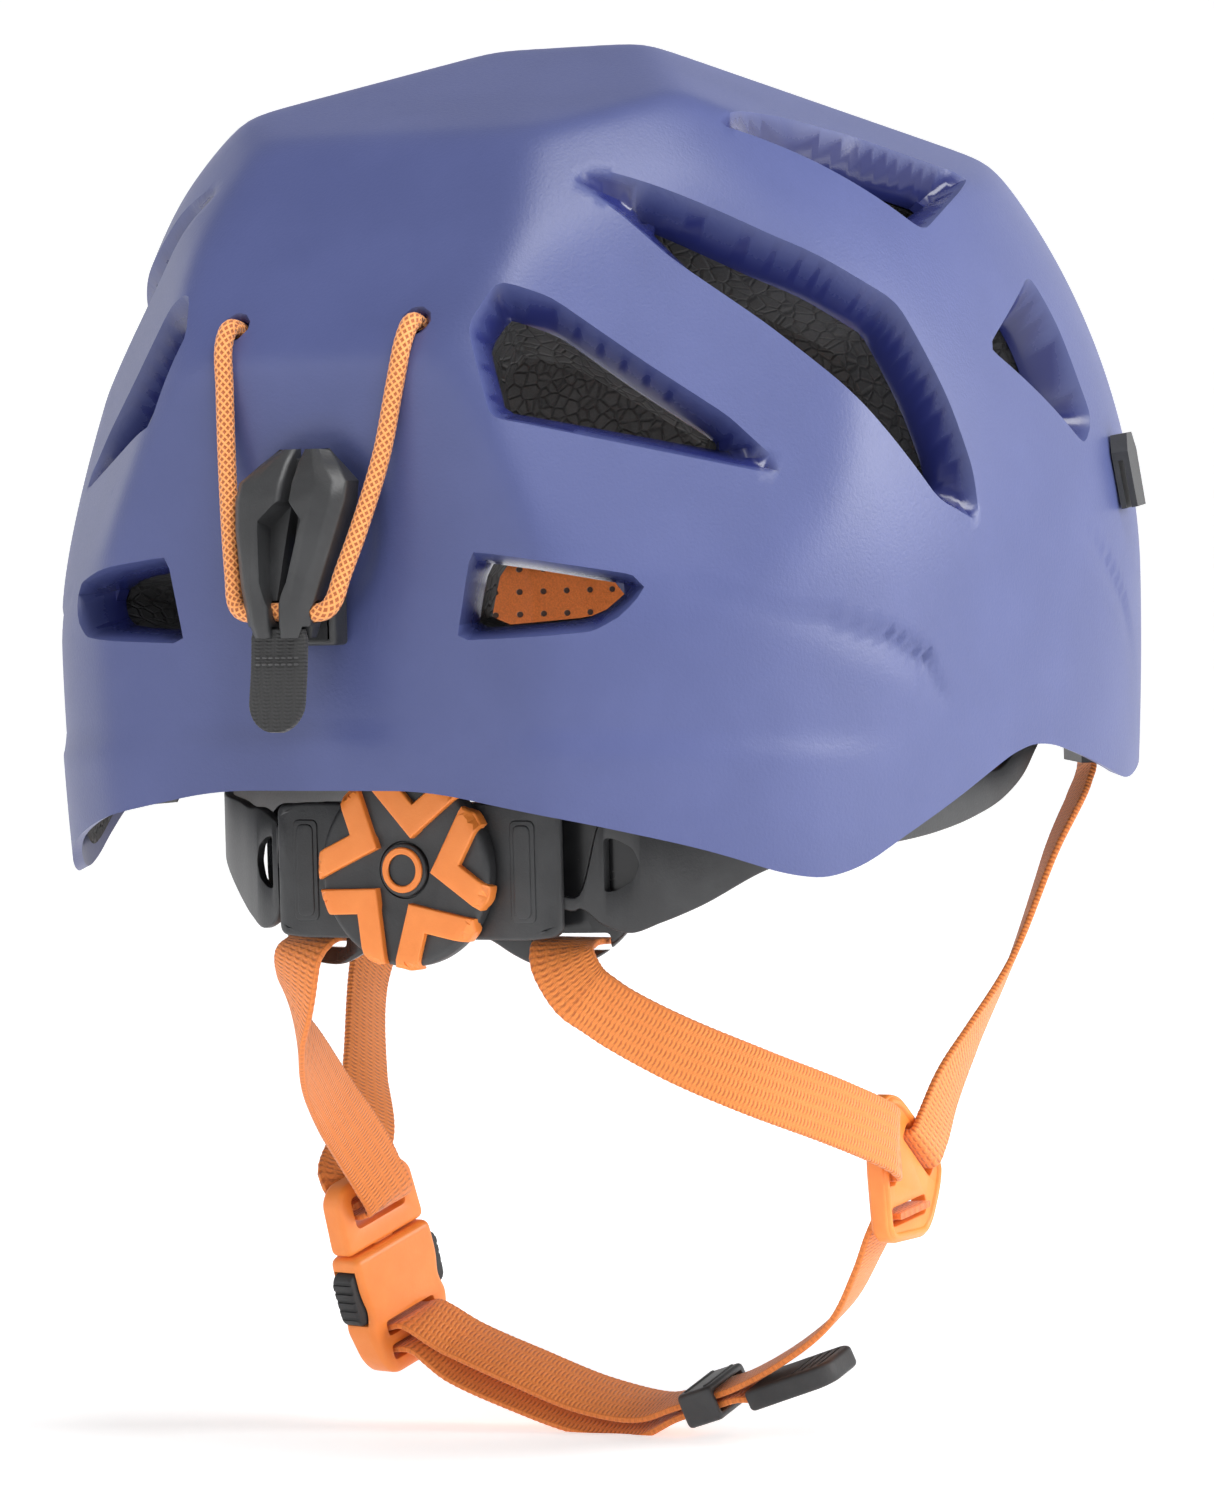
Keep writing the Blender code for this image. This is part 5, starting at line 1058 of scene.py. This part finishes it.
def filled(name, outline, low, high, radius, mapper, look, body, stands=(), spacing=1.0):
    # an outline whose flat faces are cut into small triangles, so that they can bend as the mapper says
    obj = pillow(name, outline, low, high, radius, lambda p: p, look, None, stands, 5)
    tool = bmesh.new()
    tool.from_mesh(obj.data)
    big = [f for f in tool.faces if len(f.verts) > 4]
    bmesh.ops.triangulate(tool, faces=big)
    for _ in range(3):
        tooLong = [e for e in tool.edges if e.calc_length() > spacing * 2 * mm]
        if tooLong:
            bmesh.ops.subdivide_edges(tool, edges=tooLong, cuts=1)
            bmesh.ops.triangulate(tool, faces=[f for f in tool.faces if len(f.verts) > 3])
    co = np.array([v.co[:] for v in tool.verts]) / mm
    for v, p in zip(tool.verts, mapper(co)):
        v.co = Vector(p * mm)
    bmesh.ops.recalc_face_normals(tool, faces=tool.faces)
    tool.to_mesh(obj.data)
    tool.free()
    shaded(obj, 34)
    if body:
        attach(obj, body)
    return obj


def clipped(outline):
    # corners past the rim are pulled back onto it
    r = np.linalg.norm(outline, axis=1, keepdims=True)
    return outline * np.minimum(1, (dialEdge + 0.15) / r)


for k in range(dial["count"]):
    turn = dial["first"] + 360 * k / dial["count"]
    outline = chevronOutline(turn)
    fine = []
    for a, b in zip(outline, np.roll(outline, -1, 0)):
        fine += [a + (b - a) * t for t in np.linspace(0, 1, 9)[:-1]]
    shape = clipped(np.array(fine))
    filled("dialChevron%d" % k, shape, -1.6, dial["raise"], 0.45, dialPoint, looks["orange"], "dial",
                   ["dial_grip"] if k == 0 else ())
turned("dialCap", [(-1.2, 0.01), (-1.2, 5.9), (-0.1, 5.9), (0.15, 5.7), (0.25, 5.4), (0.1, 2.4),
                   (0.02, 0.01)], dialCentre,
       (0, 1, 0), (1, 0, 0), looks["black"], "dial", ["dial_cap"], 64, 30)
turned("dialRing", [(0.0, 3.5), (0.0, 5.0), (0.7, 5.0), (0.95, 4.75), (0.95, 3.75), (0.7, 3.5), (0.0, 3.5)],
       dialCentre,
       (0, 1, 0), (1, 0, 0), looks["orange"], "dial", (), 64, 30)

housing = {"inner": 87.05, "outer": 89.45, "bendFrom": 32.6, "bendWidth": 3.4, "bendDepth": 1.5}


def coverPoint(p):
    # x across, z up, w from the inner face outwards; the two ends bend towards the head
    fall = np.clip((np.abs(p[:, 0]) - housing["bendFrom"]) / housing["bendWidth"], 0, 1)
    return np.stack([p[:, 0], p[:, 2] - housing["bendDepth"] * fall ** 1.6, p[:, 1]], 1)


coverOutline = roundOutline([(-36, -74.2), (-29, -75), (29, -75), (36, -74.2), (36, -45.8), (29, -45),
                             (-29, -45), (-36, -45.8)],
                            2.4, 7)
filled("housingCover", coverOutline, housing["inner"], housing["outer"], 0.8, coverPoint, looks["black"],
       "cradle",
               ["housing_cover"], 2.0)
for side, word in ((1, "Left"), (-1, "Right")):
    for index, (a, b, low, high) in enumerate(((24.6, 30.8, -71.2, -48.8), (25.6, 29.8, -70.2, -49.8))):
        ring = roundOutline([(a * side, low), (b * side, low), (b * side, high), (a * side, high)], 1.6, 6)
        level = housing["outer"] - 0.1 + (0.45 if index == 0 else 0.75)
        filled("housingPanel%s%d" % (word, index), ring, housing["outer"] - 0.9, level, 0.3, coverPoint,
               looks["black"],
               "cradle")
for n, foot in enumerate((-74.9, -47.2)):
    lipOutline = roundOutline([(-27, foot), (27, foot), (27, foot + 2.1), (-27, foot + 2.1)], 0.6, 4)
    filled("housingLip%d" % n, lipOutline, 82.8, 87.6, 0.3, fromBehind, looks["black"], "cradle")
print("dial and housing")


# Nape yoke: a glossy lobed plate, bent towards the wearer at both sides

def cradleY(x):
    return 79.5 - 9.5 * (np.asarray(x) / 49.0) ** 2


yokeHalf = [(0, -72.5), (6, -73), (13, -75), (20, -79.5), (26, -82), (34, -81.5), (40, -78.5), (45, -73.5),
            (49, -65),
            (49, -51), (45, -46), (26, -46), (0, -46)]
yokeOutline = yokeHalf + [(-x, z) for x, z in yokeHalf[-2:0:-1]]
yokeOutline = roundOutline(yokeOutline, 5.0, 6)
yoke = filled("napeYoke", yokeOutline, 0.0, 2.4, 0.9,
              lambda p: np.stack([p[:, 0], cradleY(p[:, 0]) + p[:, 2], p[:, 1]], 1), looks["gloss"], None,
              ["nape_yoke"], 2.0)
slots = [pillow("yokeSlotCut", roundOutline([(s * 32.5 - 8.7, -77.9), (s * 32.5 + 8.7, -77.9),
                                             (s * 32.5 + 8.7, -74.1),
                                             (s * 32.5 - 8.7, -74.1)], 1.2), 60, 95, 0.01,
                fromBehind, steps=2) for s in (1, -1)]
carve(yoke, slots, soften=0.3, sharpAngle=36)
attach(yoke, "cradle")

# Arms: a bent bar each, flattening into the rack's end, with a rounded window behind the dial

armRoute = [(46.5, 76.4, -74, -47), (52, 72.0, -72, -47), (58, 66.3, -69, -46), (70, 54, -61, -45),
            (78, 40, -58.5, -44),
            (82.5, 22, -57.5, -43.5), (85, 4, -56, -43.5), (86.3, -12, -53.5, -43), (86.8, -26, -50, -42.5),
            (86.8, -36, -45.5, -36), (86.2, -44, -40, -27), (85.2, -51, -36, -25)]
for side, word in ((1, "left"), (-1, "right")):
    middle = dial["height"] + 7.225 * side
    rear = [(22.15, 85.65, middle - 1.6, middle + 1.6), (30, 85.5, middle - 1.6, middle + 1.6),
            (33.5, 84.4, middle - 1.6, middle + 1.6), (37.5, 82.0, middle - 1.6, middle + 1.6),
            (41.5, 79.2, -72, -49)]
    path, along = smoothPath(rear + armRoute, 1.0, 1.0)
    path[:, 2:] = np.stack([np.minimum(path[:, 2], path[:, 3] - 3.0), path[:, 3]], 1)
    centres = np.stack([path[:, 0] * side, path[:, 1], (path[:, 2] + path[:, 3]) / 2], 1)
    flatRun = np.gradient(centres[:, :2], axis=0)
    flatRun = unit(np.concatenate([flatRun, np.zeros((len(path), 1))], 1))
    upward = np.broadcast_to(np.array([0, 0, 1.0]), centres.shape)
    halves = (path[:, 3] - path[:, 2]) / 2
    taper = np.sqrt(np.clip((along[-1] - along) / 6.0, 0.15, 1))
    section = roundedSection(halves * taper, np.full(len(path), 1.1), 0.55, 4)
    arm = sweep(word + "Arm", centres, upward, np.cross(flatRun, upward), section, looks["black"], None,
                [word + "_arm"], along, 50)
    turnOutwards(arm)
    window = roundOutline([(0, -6), (2.5, -5.6), (5.5, -3.6), (6.8, 0), (5.5, 3.6), (2.5, 5.6), (0, 6)], 1.0)
    tool = pillow("windowCut", window * [side, 1] + [42.5 * side, -59.0], 60, 88, 0.01,
                  fromBehind, steps=2)
    hole = turned("pinCut", [(78, 0.01), (78, 2.35), (92, 2.35), (92, 0.01)], (0, -46, -31), (side, 0, 0),
                  (0, 1, 0), None,
                  None, (), 32)
    carve(arm, [tool, hole], soften=0.25, sharpAngle=40)
    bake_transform(arm)
    turned(word + "Pin", [(82.1, 0.01), (82.1, 3.6), (82.5, 4.35), (82.8, 4.5), (83.5, 4.5), (83.5, 2.0),
                          (96.4, 2.0),
                          (96.4, 0.01)], (0, -46, -31), (side, 0, 0), (0, 1, 0), looks["black"], "shell",
           [word + "_temple_pin"], 40)
print("cradle")

# Side buckle, strap divider, keeper and end tab


def bucklePoint(p):
    return bc + p[:, :1] * bx + p[:, 1:2] * by + p[:, 2:] * bz


def box2(a, b, centre=(0, 0)):
    return [(centre[0] - a, centre[1] - b), (centre[0] + a, centre[1] - b), (centre[0] + a, centre[1] + b),
            (centre[0] - a, centre[1] + b)]


def buckleCut(name, outline, low, high, round_=0.8):
    return pillow(name, roundOutline(outline, round_, 5), low, high, 0.01, bucklePoint, steps=2)


buckleHalf, buckleDeep, tip = buckle["width"] / 2, buckle["thick"] / 2, buckle["length"]
frameEnd = -buckle["frame"]
maleShape = roundOutline([(-buckleHalf + 0.6, frameEnd + 3), (-buckleHalf + 4, frameEnd),
                          (buckleHalf - 4, frameEnd), (buckleHalf - 0.6, frameEnd + 3),
                          (buckleHalf, -0.35), (-buckleHalf, -0.35)], 2.2, 7)
male = pillow("buckleMale", maleShape, -3.0, 3.0, 1.3, bucklePoint, looks["orange"], None,
              ["buckle_male"], 6)
prong = pillow("buckleProng", roundOutline([(-3.4, -1.5), (3.4, -1.5), (3.4, 12), (2.2, 14), (-2.2, 14),
                                            (-3.4, 12)], 0.6),
               -1.6, 1.6, 0.5, bucklePoint, looks["orange"], None, ())
carve(male, [buckleCut("maleSlotCut", box2(8.4, 3.8, (0, buckle["maleSlot"] - buckle["frame"])), -9, 9, 1.4)],
      soften=0.5,
      sharpAngle=40)
for n, level in enumerate((-4.1, -2.2)):
    pillow("buckleSeam%d" % n, roundOutline(box2(buckleHalf - 1.0, 0.35, (0, level)), 0.3), 2.6, 3.35, 0.25,
           bucklePoint,
                  looks["orange"], "shell")
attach(male, "shell")
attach(prong, "shell")

femaleShape = roundOutline([(-buckleHalf, 0), (buckleHalf, 0), (buckleHalf, 9), (buckleHalf - 1.2, 14),
                            (buckleHalf + 0.3, 18), (buckleHalf - 2.0, tip - 4),
                            (buckleHalf - 5, tip), (-buckleHalf + 5, tip), (-buckleHalf + 2.0, tip - 4),
                            (-buckleHalf - 0.3, 18),
                            (-buckleHalf + 1.2, 14), (-buckleHalf, 9)], 2.6, 7)
female = pillow("buckleFemale", femaleShape, -buckleDeep, buckleDeep, 1.9, bucklePoint, looks["orange"], None,
                ["buckle_female"], 7)
dimple = turned("dimpleCut", [(0, 0.01), (0, 1.2), (0.5, 2.4), (1.4, 3.6), (3.0, 4.4), (3.0, 0.01)],
                tuple(bc + by * 9.0 + bz * (buckleDeep - 0.9)), bz, bx, None, None, (), 48)
cuts = [buckleCut("webCut%d" % n, box2(8.4, buckle["slotHalf"], (0, s)), -9, 9, 1.0) for n,
        s in enumerate(buckle["slots"])]
cuts += [buckleCut("leverCut%d" % n, box2((buckleHalf + 2 - 7.8) / 2, 6.85,
                                          (s * (buckleHalf + 2 + 7.8) / 2, 10.0)), -3.35, 3.35, 0.4)
         for n, s in enumerate((-1, 1))]
cuts += [buckleCut("prongCut", box2(3.75, 8.5, (0, 6.7)), -1.95, 1.95, 0.4), dimple]
carve(female, cuts, soften=0.45, sharpAngle=40)
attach(female, "buckle_socket")
for word, side in (("rear", -1), ("front", 1)):
    inner = buckleHalf - 4.2 + 0.35
    low, high = 3.5, 16.5
    shape = [(side * inner, low), (side * (buckleHalf + 0.4), low), (side * (buckleHalf + 2.2), low + 2),
             (side * (buckleHalf + 1.8), high - 1.5), (side * (buckleHalf + 0.6), high), (side * inner, high)]
    lever = pillow(word + "Lever", roundOutline(shape, 1.2, 5), -3.0, 3.0, 0.8, bucklePoint, looks["rubber"],
                   None,
                   [word + "_release_lever"], 5)
    ribs = [buckleCut("ribCut%d" % n, box2(0.9, 0.42, (side * (buckleHalf + 2.3), 5.4 + 2.2 * n)), -9, 9,
                      0.2) for n in range(5)]
    carve(lever, ribs, soften=0.12, sharpAngle=40)
    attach(lever, word + "_lever")
print("buckle")

dividerForm = {"x": -73.5, "halfThick": 2.0, "slot": (8.3, 2.1), "rimWide": 2.75, "rimHigh": 1.35}
dividerShape = roundOutline([(11, -114.5), (5, -115.5), (-9, -126.0), (-15, -133.0), (-13.5, -138.5),
                             (-9.5, -145.5),
                             (-6, -148.5), (10, -148.5), (13, -146.0), (15, -131), (14.5, -118)], 3.2, 6)
dividerPlace = planePlace((dividerForm["x"], 0, 0), (0, 1, 0), (0, 0, 1), (1, 0, 0))
divider = pillow("strapDivider", dividerShape, -dividerForm["halfThick"], dividerForm["halfThick"], 0.8,
                 dividerPlace, looks["orange"], None,
                 ["strap_divider"], 6)
cuts = []
for centre, across in (((dividerForm["x"], 10.0, -127.0), (0, 0, 1)),
                       ((dividerForm["x"], -3.5, -128.5), (0, 0.79, 0.62)),
                       ((dividerForm["x"], 2.0, -141.8), (0, -0.99, 0.1))):
    across = unit(np.array(across, float))
    cuts.append(pillow("dividerCut", roundOutline(box2(*dividerForm["slot"]), 1.2, 5), -9, 9, 0.01,
                       planePlace(centre, across, np.cross((1, 0, 0), across), (1, 0, 0)), steps=2))
rimOuter = dividerShape + inward(dividerShape) * 0.2
carve(divider, cuts, soften=0.5, sharpAngle=40)
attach(divider, "shell")
count = len(rimOuter)
ringPath = dividerPlace(np.concatenate([rimOuter + inward(dividerShape) * 1.3, np.zeros((count, 1))], 1))
ringRun = unit(np.roll(ringPath, -1, 0) - np.roll(ringPath, 1, 0))
xDir = np.broadcast_to(np.array([1.0, 0, 0]), ringRun.shape)
rimSides = 14
turn = np.linspace(0, 2 * math.pi, rimSides, endpoint=False)
rimOut = np.cos(turn)[None, :, None] * xDir[:, None] * dividerForm["rimWide"]
rimUp = np.sin(turn)[None, :, None] * np.cross(ringRun, xDir)[:, None] * dividerForm["rimHigh"]
ringPoints = ringPath[:, None] + (rimOut + rimUp)
i, j = np.meshgrid(np.arange(count), np.arange(rimSides), indexing="ij")
ni, nj = (i + 1) % count, (j + 1) % rimSides
ringFaces = np.stack([i * rimSides + j, i * rimSides + nj, ni * rimSides + nj, ni * rimSides + j],
                     -1).reshape(-1, 4).tolist()
thickRim = makeMesh("dividerRim", ringPoints.reshape(-1, 3), ringFaces, looks["orange"], None,
                    (), None, 50)
turnOutwards(thickRim)
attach(thickRim, "shell")

keeperForm = {"half": (10.0, 4.2), "halfLength": 4.5, "slot": (8.2, 2.5), "rib": (8.0, 0.5), "ribGap": 2.6}
keeperPlace = planePlace(kc, kx, ky, keeperRun)
keeperObj = pillow("strapKeeper", roundOutline(box2(*keeperForm["half"]), 1.8, 6), -keeperForm["halfLength"],
                   keeperForm["halfLength"], 0.9, keeperPlace, looks["black"], None,
                   ["strap_keeper"], 5)
carve(keeperObj, [pillow("keeperCut", roundOutline(box2(*keeperForm["slot"]), 0.8, 5), -8, 8, 0.01,
                         keeperPlace, steps=2)],
      soften=0.5, sharpAngle=40)
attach(keeperObj, "keeper")
for n in (-1, 1):
    pillow("keeperRib%d" % n, roundOutline(box2(*keeperForm["rib"], (0, keeperForm["ribGap"] * n)), 0.4), 3.9,
           4.5, 0.25,
                 planePlace(kc, kx, keeperRun, ky), looks["black"], "keeper")

tabEnd = kc + keeperRun * 11.5 - ky * 2.3
tabRunDir = unit(keeperRun + ky * 0.02)
tabUp = np.cross(tabRunDir, kx)
tabHalf = 9.3
gripGroove = {"half": (0.5, 6.5), "first": 1.5, "gap": 2.4, "count": 4}
tabShape = roundOutline([(-11, -tabHalf), (9, -tabHalf), (12, -6), (12, 6), (9, tabHalf), (-11, tabHalf)],
                        2.0, 6)
tabPlace = planePlace(tabEnd + tabRunDir * 11, tabRunDir, kx, tabUp)
endTab = pillow("endTab", tabShape, -2.5, 2.5, 1.1, tabPlace, looks["rubber"], None,
                ["end_tab"], 6)
tools = [pillow("endTabCut", np.array(box2(5.6, 8.1, (-11.0, 0)), float), -1.5, 1.5, 0.01, tabPlace, steps=2)]
tools += [pillow("gripCut%d" % n, roundOutline(box2(*gripGroove["half"],
                                                    (gripGroove["first"] + gripGroove["gap"] * n, 0)), 0.4),
                 2.0, 4.0, 0.01, tabPlace, steps=2)
          for n in range(gripGroove["count"])]
carve(endTab, tools, soften=0.25, sharpAngle=40)
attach(endTab, "shell")
print("chin fittings")

# Pads: remeshed, inflated as cloth and capped, then smoothed once

pads = {"voxel": 1.6, "pressure": 4.0, "stiffness": 15, "mass": 0.1, "frames": 20, "fill": 0.8,
        "browSwell": 0.8, "napeSwell": 0.6}


def puffed(node, name, look, body, swell):
    # the solid remeshed evenly and inflated, each point moving outwards by the swell at most
    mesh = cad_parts[node].data.copy()
    obj = added(name, mesh)
    tool = bmesh.new()
    tool.from_mesh(mesh)
    bmesh.ops.remove_doubles(tool, verts=tool.verts, dist=1e-6)
    tool.to_mesh(mesh)
    tool.free()
    remesh = obj.modifiers.new("even", "REMESH")
    remesh.mode = "VOXEL"
    remesh.voxel_size = pads["voxel"] * mm
    applied(obj)
    rest = np.array([v.co[:] for v in obj.data.vertices])
    cloth = obj.modifiers.new("cloth", "CLOTH")
    cloth.settings.use_pressure = True
    cloth.settings.uniform_pressure_force = pads["pressure"]
    cloth.settings.effector_weights.gravity = 0.0
    cloth.settings.tension_stiffness = pads["stiffness"]
    cloth.settings.compression_stiffness = pads["stiffness"]
    cloth.settings.mass = pads["mass"]
    cloth.point_cache.frame_start, cloth.point_cache.frame_end = 1, pads["frames"]
    for number in range(1, pads["frames"] + 1):
        bpy.context.scene.frame_set(number)
    applied(obj)
    bpy.context.scene.frame_set(1)
    moved = np.array([v.co[:] for v in obj.data.vertices]) - rest
    length = np.linalg.norm(moved, axis=1, keepdims=True)
    moved *= np.minimum(1, swell * mm / np.maximum(length, 1e-9))
    obj.data.vertices.foreach_set("co", (rest + moved).ravel())
    smooth = obj.modifiers.new("soft", "SUBSURF")
    smooth.levels = smooth.render_levels = 1
    applied(obj)
    obj.data.shade_smooth()
    obj.data.materials.clear()
    obj.data.materials.append(look)
    obj.parent = None
    obj.matrix_world = Matrix.Identity(4)
    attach(obj, body)
    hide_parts(node)


puffed("brow_pad", "browPad", looks["brow"], "shell", pads["browSwell"])
puffed("nape_pad", "napePad", looks["nape"], "cradle", pads["napeSwell"])

# The remaining solids keep their shape and get their own finish

plainLook = {"plastic_black": looks["black"], "rubber_black": looks["rubber"],
             "plastic_orange": looks["orange"]}
for node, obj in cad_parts.items():
    if not obj.hide_render:
        look = plainLook.get(obj.data.materials[0].name.split(".")[0], looks["black"])
        for index in range(len(obj.data.materials)):
            obj.data.materials[index] = look
        print("kept", node)

# Floor, light and camera

studio = {"floor": -196.0, "floorTone": (0.86, 0.86, 0.865), "sky": 0.30, "glow": 0.50, "azimuth": 209.47,
          "elevation": 2.37, "roll": -1.42,
          "distance": 1591.38, "lens": 167.02, "drop": 36.47, "aim": (0, 0, -40)}
# each light: azimuth, elevation, distance, size in metres, power
lamps = {"keySoftbox": (236, 62, 2300, 1.4, 46), "leftFill": (150, 24, 2400, 0.9, 4),
         "rimStrip": (292, 20, 1700, 0.8, 20)}


def buildStage():
    # a shallow round bowl: flat in the middle, then rising as a quarter circle so that it has no horizon
    steps, sides = 40, 96
    flat, rise = 3400.0, 2600.0
    turn = np.linspace(0, math.pi / 2, steps)
    radii = np.concatenate([np.linspace(200.0, flat, 8), flat + rise * np.sin(turn[1:])])
    heights = np.concatenate([np.zeros(8), rise * (1 - np.cos(turn[1:]))]) + studio["floor"]
    angle = np.arange(sides) * 2 * math.pi / sides
    points = np.stack([radii[:, None] * np.cos(angle), radii[:, None] * np.sin(angle),
                       np.broadcast_to(heights[:, None], (len(radii), sides))], -1).reshape(-1, 3)
    faces, _ = tubeFaces(len(radii), sides, False)
    faces.append(list(range(sides))[::-1])
    look = Look("paleFloor")
    paint = look.finish(studio["floorTone"], 0.7, None, Emission_Color=(1, 1, 1, 1),
                        Emission_Strength=studio["glow"])
    bowl = makeMesh("stageFloor", points, faces, paint, None, (), None, 30)
    tool = bmesh.new()
    tool.from_mesh(bowl.data)
    bmesh.ops.recalc_face_normals(tool, faces=tool.faces)
    if sum(f.normal.z for f in tool.faces) < 0:
        bmesh.ops.reverse_faces(tool, faces=tool.faces)
    tool.to_mesh(bowl.data)
    tool.free()


def viewDirection(azimuth, elevation):
    # from the target towards a viewer, azimuth 0 looking along +Y
    a, e = math.radians(azimuth), math.radians(elevation)
    return np.array([math.sin(a) * math.cos(e), -math.cos(a) * math.cos(e), math.sin(e)])


def areaLight(name, azimuth, elevation, distance, size, power):
    data = bpy.data.lights.new(name, "AREA")
    data.shape = "DISK"
    data.size = size
    data.energy = power
    obj = added(name, data)
    beam = -viewDirection(azimuth, elevation)
    obj.location = Vector((np.array(studio["aim"]) - beam * distance) * mm)
    obj.rotation_euler = Vector(beam).to_track_quat("-Z", "Y").to_euler()


buildStage()
for name, values in lamps.items():
    areaLight(name, *values)
world = bpy.data.worlds.new("paleRoom")
bpy.context.scene.world = world
world.use_nodes = True
world.node_tree.nodes["Background"].inputs["Color"].default_value = (1, 1, 1, 1)
world.node_tree.nodes["Background"].inputs["Strength"].default_value = studio["sky"]

towards = viewDirection(studio["azimuth"], studio["elevation"])
camera = added("frontCamera", bpy.data.cameras.new("frontCamera"))
rotation = Vector(-towards).to_track_quat("-Z", "Y").to_matrix()
camera.matrix_world = (rotation @ Matrix.Rotation(math.radians(studio["roll"]), 3, "Z")).to_4x4()
aim = -camera.matrix_world.to_3x3().col[1] * studio["drop"]
camera.location = (aim + Vector(towards * studio["distance"])) * mm
camera.data.lens = studio["lens"]
camera.data.sensor_width = 36.0
camera.data.clip_end = 50
bpy.context.scene.camera = camera
bpy.context.scene.view_settings.view_transform = "Standard"

print("scene done")
